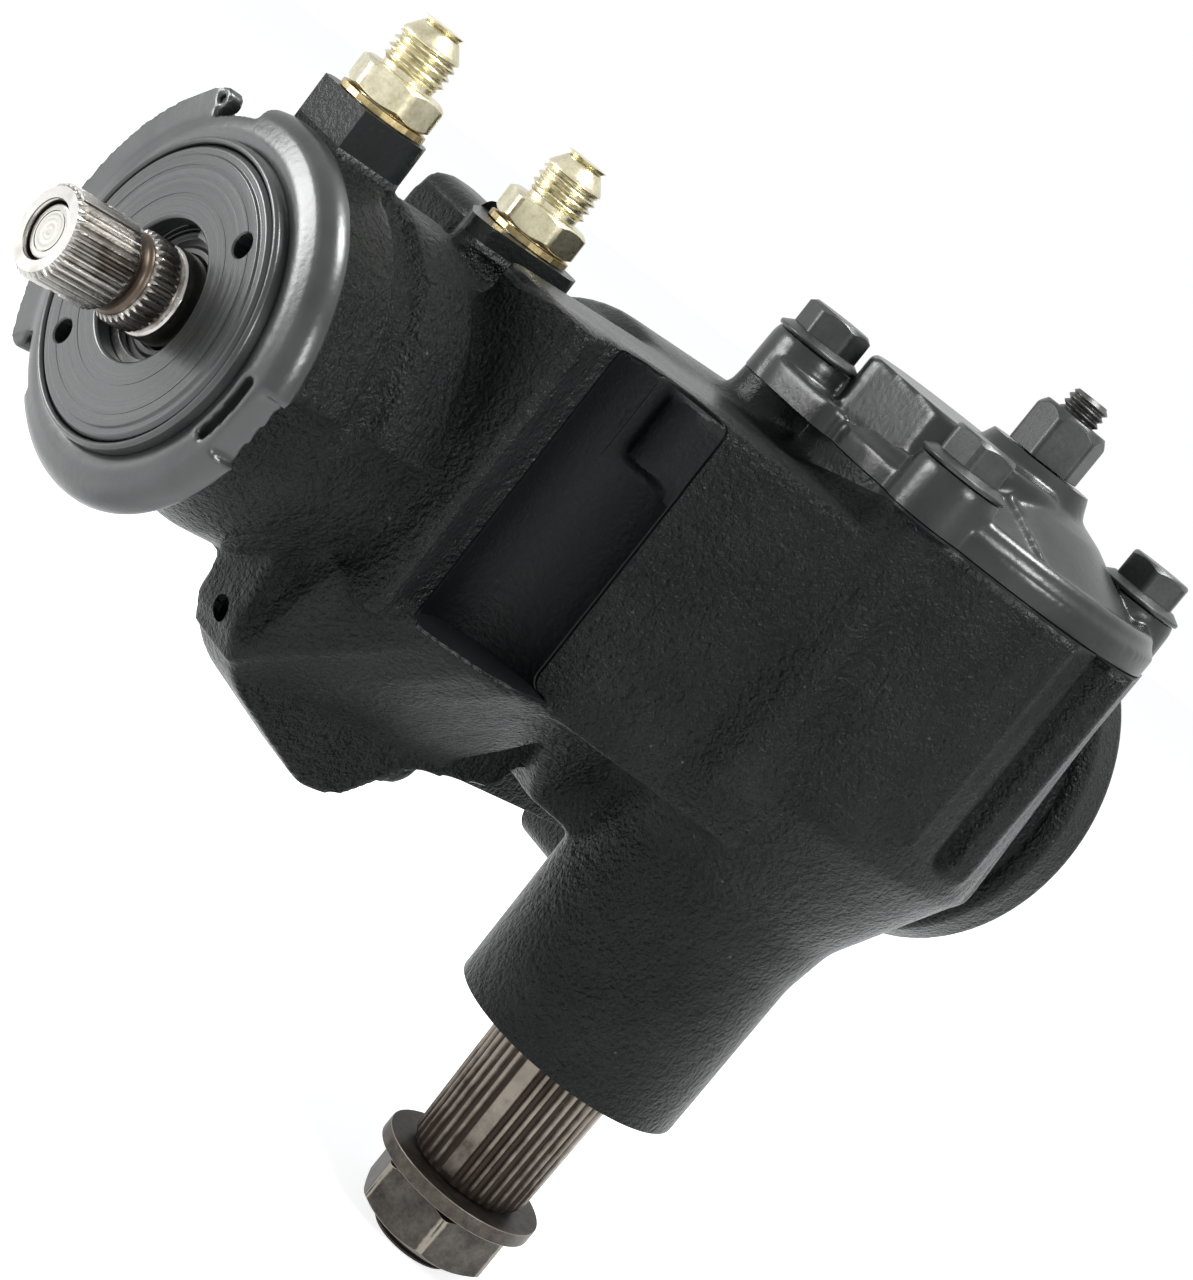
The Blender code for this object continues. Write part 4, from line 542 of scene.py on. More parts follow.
def lathe_marks(black, pale, rough, axis, centre, pitch):
    """Painted or bare metal with the fine rings a lathe leaves round an axis."""
    def fill(web, place):
        reach = web.off_axis(place, axis, centre)
        wobble = web.noise(place, 6.0)
        rings = abs((reach / pitch + wobble * 0.3).fraction() - 0.5) * 2
        broad = web.noise(web.node("ShaderNodeCombineXYZ", None, {0: reach}), 1.3, 2.0)
        colour = web.mix(broad.between(0.35, 0.7), black, pale)
        height = rings * 0.35 + broad
        return {"Base Color": colour, "Roughness": rough + broad * 0.14, "Normal": web.bump(height, 0.05)}
    return fill


def worn_steel(bright, dark, rough, axis, centre, crest, bare_before=None):
    """Steel whose hollows below the crest radius keep a dark stain; ends before a place stay bare."""
    def fill(web, place):
        reach = web.off_axis(place, axis, centre)
        stain = web.noise(place, 2.6, 4.0, 0.65)
        cloud = web.noise(place, 8.0, 2.0)
        hollow = (crest - reach + stain * 0.9 - 0.45).between(0.05, 0.85)
        if bare_before is not None:
            hollow = hollow * place.parts()[0].between(bare_before, bare_before + 0.3)
        patch = cloud.between(0.52, 0.72) * 0.45
        colour = web.mix((hollow + patch).low(1.0), bright, dark)
        return {"Base Color": colour, "Roughness": rough + stain * 0.18 + hollow * 0.18,
                "Normal": web.bump(stain, 0.06)}
    return fill


def mottled(bright, dark, rough, size, depth):
    """Plated or phosphated metal with uneven tone."""
    def fill(web, place):
        cloud = web.noise(place, size, 3.0, 0.6)
        fine = web.noise(place, size / 7, 3.0)
        colour = web.mix((cloud * 0.7 + fine * 0.3).between(0.36, 0.64), dark, bright)
        return {"Base Color": colour, "Roughness": rough + fine * 0.16, "Normal": web.bump(fine, depth)}
    return fill


def rimmed(fill, pale):
    """The same finish with its edges worn pale; the edge mask is kept on the mesh."""
    def filled(web, place):
        links = fill(web, place)
        edge = web.node("ShaderNodeAttribute", {"attribute_name": "edge"}, output="Fac")
        wear = (edge * 1.2 + web.noise(place, 1.4, 3.0) - 0.75).between(0.0, 0.6)
        links["Base Color"] = web.mix(wear * 0.8, links["Base Color"], pale)
        return links
    return filled


BLACK = (0.0042, 0.0052, 0.0052)
# The paler cast tone, also used as a painted sheen on the machined band.
SOOT_AND_SHEEN = (0.0105, 0.0125, 0.012)
# Painted shade: the near-black that the scallop is painted.
SCALLOP_PAINTED_SHADE = (0.0015, 0.002, 0.0022)
BRASSY = (0.7, 0.655, 0.48)

finish("cast_iron_black_paint", sand_cast(BLACK, SOOT_AND_SHEEN, 1.9), Specular_IOR_Level=0.12)
finish("cover_black_paint", smooth_paint((0.009, 0.0105, 0.0105), (0.02, 0.022, 0.021), 0.22),
       Specular_IOR_Level=0.36)
finish("bolt_black_oxide", mottled((0.03, 0.031, 0.03), (0.014, 0.015, 0.015), 0.28, 6.0, 0.02),
       Metallic=0.25)
finish("adjuster_black_steel", mottled((0.06, 0.06, 0.057), (0.02, 0.02, 0.02), 0.3, 3.0, 0.03), Metallic=0.5)
finish("adjuster_nut_black", mottled((0.03, 0.031, 0.03), (0.014, 0.015, 0.015), 0.3, 6.0, 0.02),
       Metallic=0.25)
finish("sector_shaft_steel", worn_steel((0.17, 0.15, 0.125), (0.03, 0.022, 0.017), 0.34, "z", (0, 0), 15.6),
       Metallic=0.85)
finish("arm_nut_phosphate", rimmed(mottled((0.075, 0.068, 0.058), (0.026, 0.023, 0.02), 0.36, 5.0, 0.05),
                                   (0.27, 0.24, 0.2)), Metallic=0.75)
finish("lock_washer_phosphate", rimmed(mottled((0.07, 0.06, 0.05), (0.024, 0.02, 0.017), 0.38, 3.0, 0.05),
                                       (0.22, 0.19, 0.155)), Metallic=0.75)
finish("rack_steel", mottled((0.36, 0.35, 0.34), (0.24, 0.24, 0.24), 0.28, 9.0, 0.02), Metallic=1.0)
finish("worm_ground_steel", lathe_marks((0.42, 0.42, 0.41), (0.55, 0.55, 0.54), 0.2, "x", WORM_AXIS, 0.4),
       Metallic=1.0)
finish("ball_polished_steel", mottled((0.72, 0.72, 0.71), (0.62, 0.62, 0.62), 0.06, 2.0, 0.002), Metallic=1.0)
finish("valve_body_steel", lathe_marks((0.36, 0.36, 0.35), (0.48, 0.48, 0.47), 0.24, "x", WORM_AXIS, 0.5),
       Metallic=1.0)
finish("valve_spool_steel", mottled((0.52, 0.52, 0.51), (0.4, 0.4, 0.39), 0.2, 5.0, 0.01), Metallic=1.0)
finish("input_shaft_bare_steel", worn_steel((0.36, 0.35, 0.33), (0.075, 0.058, 0.045), 0.14, "x",
                                            WORM_AXIS, 9.2, STUB_TIP + 0.75), Metallic=1.0)
finish("torsion_bar_spring_steel", lathe_marks((0.3, 0.29, 0.27), (0.38, 0.37, 0.345), 0.16, "x",
                                               WORM_AXIS, 1.1),
       Metallic=1.0)
finish("pin_steel", mottled((0.4, 0.34, 0.28), (0.2, 0.14, 0.1), 0.3, 1.6, 0.03), Metallic=1.0)
finish("bearing_race_steel", mottled((0.56, 0.56, 0.57), (0.46, 0.46, 0.47), 0.16, 6.0, 0.005), Metallic=1.0)
finish("bearing_shell_steel", mottled((0.45, 0.45, 0.45), (0.34, 0.34, 0.34), 0.28, 4.0, 0.01), Metallic=1.0)
finish("adjuster_plug_black", lathe_marks((0.012, 0.0135, 0.0135), (0.026, 0.028, 0.028), 0.2, "x",
                                          WORM_AXIS, 1.9),
       IOR=1.55)
finish("locknut_black_paint", smooth_paint((0.013, 0.0145, 0.0145), (0.027, 0.029, 0.0285), 0.25), IOR=1.55)
finish("seal_rubber", mottled((0.02, 0.02, 0.021), (0.01, 0.01, 0.011), 0.34, 2.0, 0.03))
finish("slide_ring_plastic", mottled((0.7, 0.68, 0.62), (0.6, 0.57, 0.5), 0.4, 5.0, 0.01))
finish("retaining_ring_spring_steel", mottled((0.1, 0.1, 0.098), (0.04, 0.04, 0.04), 0.22, 3.0, 0.02),
       Metallic=0.8)
finish("end_plug_cast", lathe_marks((0.016, 0.018, 0.018), (0.035, 0.037, 0.036), 0.3, "x", WORM_AXIS, 2.4),
       Metallic=0.2)
finish("fitting_gold_zinc", mottled(BRASSY, (0.46, 0.42, 0.28), 0.22, 5.0, 0.03), Metallic=1.0)
finish("port_washer_copper", mottled((0.5, 0.4, 0.2), (0.26, 0.2, 0.1), 0.3, 3.0, 0.02), Metallic=1.0)
finish("ball_guide_zinc", mottled((0.55, 0.55, 0.5), (0.42, 0.42, 0.38), 0.3, 4.0, 0.01), Metallic=1.0)


# Repeats made by geometry nodes

def number_input(tree, name, value):
    kind = "NodeSocketInt" if isinstance(value, int) else "NodeSocketFloat"
    socket = tree.interface.new_socket(name, in_out="INPUT", socket_type=kind)
    socket.default_value = value


def node_tree(name, inputs):
    tree = bpy.data.node_groups.new(name, "GeometryNodeTree")
    tree.interface.new_socket("Geometry", in_out="INPUT", socket_type="NodeSocketGeometry")
    tree.interface.new_socket("Geometry", in_out="OUTPUT", socket_type="NodeSocketGeometry")
    for key, value in inputs.items():
        number_input(tree, key, value)
    tree.interface.new_socket("Material", in_out="INPUT", socket_type="NodeSocketMaterial")
    tree.interface.new_socket("Object", in_out="INPUT", socket_type="NodeSocketObject")
    web = Web(tree)
    entry = tree.nodes.new("NodeGroupInput")
    sockets = {socket.name: Wire(web, socket) for socket in entry.outputs if socket.name}
    return web, sockets


def close_tree(web, sockets, geometry):
    solid = web.node("GeometryNodeRealizeInstances", None, {0: geometry})
    painted = web.node("GeometryNodeSetMaterial", None, {"Geometry": solid, "Material": sockets["Material"]})
    leave = web.tree.nodes.new("NodeGroupOutput")
    web.feed(leave.inputs[0], painted)
    return web.tree


def ridged_bar_tree():
    """A round bar with splines along it or a thread round it, all from a few sizes in mm."""
    sizes = {"Sides": 360, "Rows": 24, "Low": 0.0, "High": 10.0, "Low Radius": 5.0, "High Radius": 5.0,
             "Depth": 0.5, "Teeth": 36, "Turns Per MM": 0.0, "Land": 0.3, "Slope": 0.3, "Broad Every": 1000,
             "Chamfer": 0.5}
    web, size = node_tree("Ridged bar", sizes)
    length = size["High"] - size["Low"]
    bar = web.node("GeometryNodeMeshCylinder", {"fill_type": "NGON"},
                   {"Vertices": size["Sides"], "Side Segments": size["Rows"], "Radius": 1.0, "Depth": 1.0})
    x, y, z = web.node("GeometryNodeInputPosition").parts()
    share = z + 0.5
    along = size["Low"] + share * length
    around = web.node("ShaderNodeMath", {"operation": "ARCTAN2"}, {0: y, 1: x}) / (2 * pi) + 1.0
    phase = around * size["Teeth"] + along * size["Turns Per MM"]
    tooth = ((phase / size["Broad Every"]).fraction() * size["Broad Every"]) < 1.0
    swing = abs(phase.fraction() - 0.5) * 2
    low_edge = 1.0 - size["Land"] - size["Slope"]
    crest = ((swing - low_edge) / size["Slope"]).low(1.0).high(0.0).high(tooth)
    outer = size["Low Radius"] + (size["High Radius"] - size["Low Radius"]) * share
    end = (along - size["Low"]).low(size["High"] - along)
    radius = (outer - size["Depth"] * (1.0 - crest)).low(outer - size["Chamfer"] + end)
    reach = radius * MM
    moved_to = web.node("ShaderNodeCombineXYZ", None, {0: x * reach, 1: y * reach, 2: along * MM})
    shaped = web.node("GeometryNodeSetPosition", None, {"Geometry": bar, "Position": moved_to})
    return close_tree(web, size, shaped)


def set_on_points_tree():
    """Copies of an object on the points of a mesh, each turned by the point's own angle."""
    web, size = node_tree("Set on points", {"Scale": 1.0})
    one = web.node("GeometryNodeObjectInfo", None, {"Object": size["Object"]}, "Geometry")
    turn = web.node("GeometryNodeInputNamedAttribute", {"data_type": "FLOAT"}, {"Name": "turn"})
    spin = web.node("ShaderNodeCombineXYZ", None, {2: turn})
    copies = web.node("GeometryNodeInstanceOnPoints", None,
                      {"Points": size["Geometry"], "Instance": one, "Rotation": spin, "Scale": size["Scale"]})
    return close_tree(web, size, copies)


RIDGED_BAR = ridged_bar_tree()
SET_ON_POINTS = set_on_points_tree()


def grow(piece, tree, values):
    """Run a node tree on a piece with the given named inputs and keep the plain result."""
    tool = piece.modifiers.new("grow", "NODES")
    tool.node_group = tree
    for item in tree.interface.items_tree:
        if item.in_out == "INPUT" and item.name in values:
            tool[item.identifier] = values[item.name]
    return evaluated(piece)


def ridged_bar(low, high, low_r, high_r, depth, **more):
    values = {"Low": float(low), "High": float(high), "Low Radius": float(low_r),
              "High Radius": float(high_r), "Depth": float(depth)}
    values.update({key.replace("_", " "): value for key, value in more.items()})
    bar = link("bar", bpy.data.meshes.new("bar"))
    return grow(bar, RIDGED_BAR, values)


def thread(low, high, radius, pitch, depth=0.0, sides=48):
    rows = int((high - low) / pitch * 10)
    return ridged_bar(low, high, radius, radius, depth or 0.6 * pitch, Sides=sides, Rows=rows, Teeth=1,
                      Land=0.12, Slope=0.76, Turns_Per_MM=1 / pitch, Chamfer=0.7 * pitch)


# The housing is joined from plain solids, melted into one casting and then machined

def bowl():
    profile = [(BOSS_BOTTOM - 4, 0), (BOSS_BOTTOM - 4, BOSS_R - 0.4), (-48, BOSS_R), (-36, 31.5),
               (-9, BOWL_R + 2), (COVER_SEAT + 4, BOWL_R), (COVER_SEAT + 4, 0)]
    return turned(profile, "z", (0, 0), 96)


def bolt_columns():
    columns = []
    for spot, low in zip(BOLT_SPOTS, (18.0, -12.0, -12.0, 10.0)):
        profile = [(low - 14, 0), (low - 14, 4), (low, 13.5), (COVER_SEAT + 4, 10), (COVER_SEAT + 4, 0)]
        columns.append(turned(profile, "z", spot, 40))
    return columns


def cheek():
    outline = [(-120, 36), (-122, 12), (-120, 7), (-117.5, 6), (-108, 12), (-100, 12), (-96, 4), (-78, 4),
               (-33, -30), (-10, 20), (-20, 50)]
    return prism(outline, -24, 44)


def scallop(low, high, radius=SCALLOP_R):
    return rod(low, high, radius, "z", SCALLOP_SPOT, 96)


def corner_lug(swell=0.0):
    """The block under the first cover bolt, which stands over the scallop's right half."""
    outline = [(-87 - swell, 10), (-84 - swell, 6.5 - swell), (-77, 2.6), (-68, -3.2), (-55, 5), (-60, 20),
               (-86 - swell, 17)]
    return prism(outline, 26.5 - swell, 43, ease=1.5)


def column_lugs():
    """Flat-sided ribs down the near side of the bowl."""
    first = prism([(-20, -37), (-18.6, -41.9), (-11, -46.3), (4, -41), (0, -30), (-15, -28)], -2,
                  COVER_SEAT + 4)
    second = prism([(4, -41), (10, -46.6), (37, -28.5), (36, -14), (8, -28)], -4, COVER_SEAT + 4)
    return first, second


def column_valley():
    """The hollow between the two ribs."""
    return prism([(-8, -56), (0.5, -41.4), (4.5, -41), (9, -56)], -3, COVER_SEAT + 6)


def ear():
    outline = [(-16, -133), (-32, -128.5), (-47, -127), (-56, -117), (-69.6, -86), (-67.5, -76), (-56, -66),
               (-52, -40), (-10, -40), (-10, -133)]
    return prism(outline, 26, 43, "y", ease=5)


def shelf():
    """The ledge under the scallop, whose wall runs back to the ear below it."""
    rim = [(-124, 16), (-105, 2), (-96, -2.5), (-86, -4), (-72, -1.5), (-55, 1), (-36, 30), (-60, 44),
           (-124, 44)]
    foot = [(-124, 25), (-105, 25), (-96, 25), (-86, 25), (-72, 25), (-58, 26), (-50, 34), (-60, 42),
            (-124, 42)]
    lip = prism(rim, -23.5, -21)
    return lip, tapered(foot, rim, -51, -23)


def boss_web():
    """Metal between the ledge's wall, the frame rail and the sector boss."""
    return tapered([(-33, 24), (-22, 8), (-20, 38), (-30, 42)], [(-62, 8), (-30, 2), (-20, 44), (-62, 44)],
                   -50, -24)


def frame_side():
    rail = prism([(-66, -44), (-66, 70), (-30, 70), (-30, -44)], WORM_Y + 10, FRAME_FACE - 4, "y", 7)
    rear = prism([(-84, 48), (-84, 78), (-40, 78), (-40, 48)], WORM_Y + 22, FRAME_FACE + 3, "y", 10)
    front = prism([(-76, -56), (-76, -22), (-34, -22), (-34, -56)], WORM_Y + 14, FRAME_FACE + 3, "y", 10)
    top = prism([(8, -30), (8, 6), (38, 6), (38, -30)], WORM_Y, FRAME_FACE + 3, "y", 10)
    return rail, rear, front, top


def port_bosses():
    (x1, top1), (x2, top2) = PORTS
    first = prism([(x1 - 13.5, PORT_Y - 9), (x1 + 4.5, PORT_Y - 11), (x1 + 10, PORT_Y - 5),
                   (x1 + 11, PORT_Y + 6),
                   (x1 + 3, PORT_Y + 12), (x1 - 6, PORT_Y + 11.5), (x1 - 13.5, PORT_Y + 4.5)], 0, top1 + 3,
                   ease=1.5)
    second = prism([(x2 - 22, PORT_Y - 7.5), (x2 - 18.5, PORT_Y - 11), (x2 + 4.5, PORT_Y - 13),
                    (x2 + 10.5, PORT_Y - 7.5), (x2 + 11.5, PORT_Y + 6), (x2 + 4.5, PORT_Y + 13),
                    (x2 - 4.5, PORT_Y + 12), (x2 - 13, PORT_Y + 4.5)], 0, top2 + 3, ease=1.5)
    lug = prism([(20, -112), (46, -110), (46, -93), (20, -85)], PORT_Y + 12, PORT_Y + 30, "y", 6)
    return first, second, lug


def port_ribs():
    """Swellings of the case that run down its near side from the two port bosses."""
    ribs = []
    for low, high, rise in ((-164, -147, 2.8), (-139, -125, 2.6)):
        outline = arc(VALVE_CASE_R + rise, 88, 176, 20) + arc(VALVE_CASE_R - 6, 176, 88, 20)
        ribs.append(prism(outline, low, high, "x"))
    return ribs


def raised_lines():
    """The raised line beside the scallop and the lit rim of the ledge under it."""
    rim = [(-118, 12.5, -21), (-105, 1.8, -21), (-96, -2.8, -21), (-86, -4.3, -21), (-72, -1.8, -21),
           (-57, 0.5, -22)]
    lines = [bead(first, last, 1.1) for first, last in zip(rim, rim[1:])]
    lines.append(bead((-77.3, 3.4, 27), (-77.3, 3.4, -21), 1.1))
    return lines


def casting(voxel, passes):
    """The plain solids are laid into one mesh and remeshed, which joins them."""
    body = turned([(CASE_FRONT - 3, 0), (CASE_FRONT - 3, VALVE_CASE_R - 2.8), (-151, VALVE_CASE_R - 2.4),
                   (-141, VALVE_CASE_R), (BORE_START + 10, VALVE_CASE_R), (BORE_START + 10, 0)],
                  "x", WORM_AXIS, 96)
    case = turned([(BORE_START - 16, 0), (BORE_START - 16, VALVE_CASE_R - 4), (BORE_START - 2, PISTON_CASE_R),
                   (COLLAR_FRONT + 3, PISTON_CASE_R), (COLLAR_FRONT + 3, 0)], "x", WORM_AXIS, 96)
    lay_in(body, case, bowl(), *bolt_columns(), *column_lugs(), cheek(), *shelf(), boss_web(), *port_ribs())
    melt(body, voxel, 0)
    cut(body, scallop(-21, 60), column_valley())
    lay_in(body, ear(), *frame_side(), *port_bosses(), corner_lug(), *raised_lines())
    melt(body, voxel, passes)
    return cut(body, cut(scallop(-20.9, 60, SCALLOP_R + 0.06), corner_lug(2.5)))


def far_box(axis, at, sign):
    far = 400
    low, high = (at, at + far) if sign > 0 else (at - far, at)
    return prism([(-far, -far), (far, -far), (far, far), (-far, far)], low, high, axis)


def long_bore():
    bore = PISTON_R + PLAY
    return turned([(CASE_FRONT - 5, 0), (CASE_FRONT - 5, PLUG_R + PLAY), (PLUG_REAR, PLUG_R + PLAY),
                   (PLUG_REAR, VALVE_BORE_R), (-84, VALVE_BORE_R), (-84, 23.3), (-69.5, 23.3), (-69.5, 16),
                   (BORE_START, 16), (BORE_START, bore), (103, bore), (103, 40.3), (105.4, 40.3),
                   (105.4, bore), (CASE_REAR - 0.8, bore), (CASE_REAR + 4.2, bore + 5), (CASE_REAR + 4.2, 0)],
                  "x", WORM_AXIS, 96)


def upright_bore():
    seal = 22.2
    return turned([(BOSS_BOTTOM - 5, 0), (BOSS_BOTTOM - 5, seal + 5.6), (BOSS_BOTTOM + 0.6, seal),
                   (-86.3, seal), (-86.3, 23.9), (-84.3, 23.9), (-84.3, seal), (-64, seal), (-64, 18.2),
                   (-58.3, 18.2), (-58.3, 21.1), (-22, 21.1), (-22, CAVITY_R), (COVER_SEAT + 5, CAVITY_R),
                   (COVER_SEAT + 5, 0)], "z", (0, 0), 80)


def drillings():
    holes = [rod(37.9, COVER_SEAT + 5, 5.0, "z", spot, 32) for spot in BOLT_SPOTS]
    for x, top in PORTS:
        holes.append(turned([(21, 0), (21, 3.2), (top - 10, 3.2), (top - 10, 7), (top - 0.9, 7),
                             (top + 5, 12.9), (top + 5, 0)], "z", (x, PORT_Y), 48))
    for z, x in ((-66, 63), (-56, -39), (26, -12)):
        holes.append(turned([(79, 0), (79, 5.6), (98.2, 5.6), (104, 11.4), (104, 0)], "y", (z, x), 48))
    holes.append(rod(-140, -112, 2.7, "x", (33, -44), 32))
    return holes


def port_planes():
    (x1, top1), (x2, top2) = PORTS
    first = box((x1 - 30, PORT_Y - 40, top1), (x1 + 20, PORT_Y + 40, top1 + 30))
    second = box((x2 - 27, PORT_Y - 16, top2), (x2 + 17, PORT_Y + 12, top2 + 30))
    return first, second


def cast_housing():
    body = casting(1.24, 4)
    for part in (far_box("z", COVER_SEAT, 1), far_box("z", BOSS_BOTTOM, -1), far_box("x", CASE_FRONT, -1),
                 far_box("y", FRAME_FACE, 1)):
        cut(body, part)
    collar = turned([(COLLAR_FRONT, 0), (COLLAR_FRONT, COLLAR_R - 2), (COLLAR_FRONT + 2, COLLAR_R),
                     (CASE_REAR - 2, COLLAR_R), (CASE_REAR, COLLAR_R - 2), (CASE_REAR, 0)],
                    "x", WORM_AXIS, 128, ease=1.2)
    join(body, collar)
    cut(body, *port_planes())
    cut(body, long_bore(), upright_bore())
    cut(body, *drillings())
    return settle(body, "housing_casting", "housing", "cast_iron_black_paint", ["gear_housing"], 38)


# Side cover, its bolts and the lash adjuster

def cover_casting():
    low = COVER_SEAT + PLAY
    body = turned([(low - 3, 0), (low - 3, 44.2), (low + 4.4, 44.2), (low + 6, 42.5), (low + 6, 0)], "z",
                  (0, 0), 96)
    for index, spot in enumerate(BOLT_SPOTS):
        lug = turned([(low - 3, 0), (low - 3, 10.6), (BOLT_SEAT - 1.5, 10.2), (BOLT_SEAT + 0.6, 9.6),
                      (BOLT_SEAT + 0.6, 0)], "z", spot, 48)
        join(body, lug)
        if index in (0, 3):
            side = -1 if index == 0 else 1
            outline = [(side * 24, 14), (side * 47, 12), (spot[0] + side * 11, spot[1]),
                       (spot[0], spot[1] + 11), (side * 6, 40)]
            join(body, prism(outline, low - 3, low + 6, ease=6))
    cone = [(low + 3, 0), (low + 3, 42.6), (COVER_SEAT + 7.4, 42.2), (COVER_SEAT + 8.6, 40.5),
            (COVER_SEAT + 8.4, 38.6),
            (COVER_SEAT + 7.4, 36.4), (COVER_SEAT + 15.5, 21), (LASH_SEAT - 4.5, 14.5), (LASH_SEAT - 1, 13),
            (LASH_SEAT + 1, 12), (LASH_SEAT + 1, 0)]
    join(body, turned(cone, "z", (0, 0), 96), rod(low + 3, LASH_SEAT - 3.4, 26, "z", (-13, 10), 72, 1.6))
    rim = [(37.2 * cos(radians(a)), 37.2 * sin(radians(a)), 59.1) for a in (-118, -102, -86, -70, -54)]
    ridge = [(-19.9, -13.4, 65.9)] + rim
    join(body, *[bead(first, last, 0.8) for first, last in zip(ridge, ridge[1:])])
    pocket = prism([(-41, -2), (-37, -3), (-34.5, 24), (-41, 25)], low + 3.4, low + 30, ease=1.8)
    melt(cut(body, pocket), 0.8, 3)
    cut(body, far_box("z", low, -1))
    cut(body, far_box("z", LASH_SEAT, 1))
    cut(body, *[rod(BOLT_SEAT, BOLT_SEAT + 20, 10.3, "z", spot, 64) for spot in BOLT_SPOTS])
    spigot = CAVITY_R - PLAY
    join(body, turned([(46.1, 0), (46.1, spigot), (47.4, spigot), (47.4, spigot - 2.4), (50.2, spigot - 2.4),
                       (50.2, spigot), (low + 1, spigot), (low + 1, 0)], "z", (0, 0), 72))
    cut(body, turned([(44, 0), (44, 20.6), (62.5, 20.6), (62.5, 5), (LASH_SEAT + 3, 5), (LASH_SEAT + 3, 0)],
                     "z", (0, 0), 48), *[rod(46, BOLT_SEAT + 5, 5.2, "z", spot, 32) for spot in BOLT_SPOTS])
    return settle(body, "cover_casting", "housing", "cover_black_paint",
                  ["side_cover"], 38)


def edge_mask(piece, angle=20):
    """Mark the corners of a solid on its mesh, so a finish can wear them."""
    mesh = piece.data
    work = bmesh.new()
    work.from_mesh(mesh)
    broad = [face for face in work.faces if face.calc_area() > 20 * MM * MM]
    bmesh.ops.inset_individual(work, faces=broad, thickness=0.8 * MM)
    work.to_mesh(mesh)
    work.verts.index_update()
    sharp = set()
    for edge in work.edges:
        if len(edge.link_faces) == 2 and edge.calc_face_angle(0) > radians(angle):
            sharp.update((edge.verts[0].index, edge.verts[1].index))
    work.free()
    layer = mesh.attributes.new("edge", "FLOAT", "POINT")
    for index in sharp:
        layer.data[index].value = 1.0
    return piece


def hex_head(low, high, flats, crown, ease, bottom=False, turn=0.0):
    """A hexagon with rounded corners, crowned by a cone at its top and perhaps its bottom."""
    reach = flats / sqrt(3)
    head = prism(hexagon(flats, turn, (0, 0), ease), low, high)
    foot = [(low, 0), (low, flats / 2 * 0.97), (low + crown, reach + 0.1)] if bottom else \
        [(low, 0), (low, reach + 0.1)]
    profile = foot + [(high - crown, reach + 0.1), (high, flats / 2 * 0.94), (high, 0)]
    return keep(head, turned(profile, "z", (0, 0), 96))


def cover_bolts():
    seat = BOLT_SEAT + PLAY
    low = BOLT_SEAT - 23.0
    head = bevel(hex_head(seat + 1.2, seat + 8.6, 14.3, 1.3, 1.1), 0.25)
    flange = turned([(seat, 0), (seat, 10.2), (seat + 0.9, 10.4), (seat + 2.3, 8.0), (seat + 2.3, 0)], "z",
                    (0, 0), 64, 0.3)
    shank = thread(low, seat + 0.5, BOLT_R, 1.5)
    bolt = lay_in(head, flange, shank)
    mesh = bpy.data.meshes.new("bolt_places")
    mesh.from_pydata([Vector((*spot, 0)) * MM for spot in BOLT_SPOTS], [], [])
    layer = mesh.attributes.new("turn", "FLOAT", "POINT")
    for k, degrees in enumerate(BOLT_TURNS):
        layer.data[k].value = radians(degrees)
    places = link("bolt_places", mesh)
    grow(places, SET_ON_POINTS, {"Object": bolt, "Scale": 1.0, "Material": FINISHES["bolt_black_oxide"]})
    bpy.data.objects.remove(bolt, do_unlink=True)
    return settle(places, "flange_head_bolts", "housing", "bolt_black_oxide",
                  ["cover_bolt_1", "cover_bolt_2", "cover_bolt_3", "cover_bolt_4"])


def lash_adjuster():
    stud = thread(57.0, LASH_TOP, BOLT_R, 1.6, 0.75)
    head = turned([(53.5, 0), (53.5, 8), (57.5, 8), (57.5, 0)], "z", (0, 0), 48, 0.6)
    join(stud, head)
    cut(stud, prism(hexagon(4.8), LASH_TOP - 4, LASH_TOP + 2))
    settle(stud, "lash_stud", "housing", "adjuster_black_steel",
           ["lash_adjuster_screw"])
    low = LASH_SEAT + PLAY
    nut = hex_head(low, low + 11.5, 15.9, 2.6, 1.0, turn=radians(22))
    cut(nut, rod(low - 1, low + 13, BOLT_R + PLAY, "z", (0, 0), 32))
    bevel(nut, 0.3)
    settle(nut, "lash_locknut", "housing", "adjuster_nut_black",
           ["lash_adjuster_nut"])


# Input end: stamped locknut, adjuster plug, seals and the serrated shaft

def flat_sector(rim):
    """The part of the rim left flat, whose ends overhang the notches as hooks."""
    plate = prism(arc(44.2, -41, 54) + arc(34, 54, -41), rim - 1.6, rim + 0.3, "x")
    skirt = prism(arc(44.2, -40, 53) + arc(42.6, 53, -40), rim - 1.2, rim + 3.0, "x")
    return plate, skirt, curl(55, 50, 260, rim), curl(-41, -36, -220, rim)


def curl(degrees, first, last, rim):
    """The curled end of the flat rim."""
    u, v = round_worm(41.8 * cos(radians(degrees)), 41.8 * sin(radians(degrees)))
    turns = [radians(first + (last - first) * k / 24) for k in range(25)]
    outer = [(u + 2.4 * cos(a), v + 2.4 * sin(a)) for a in turns]
    inner = [(u + 1.0 * cos(a), v + 1.0 * sin(a)) for a in reversed(turns)]
    return prism(outer + inner, rim - 1.4, rim + 2.4, "x")


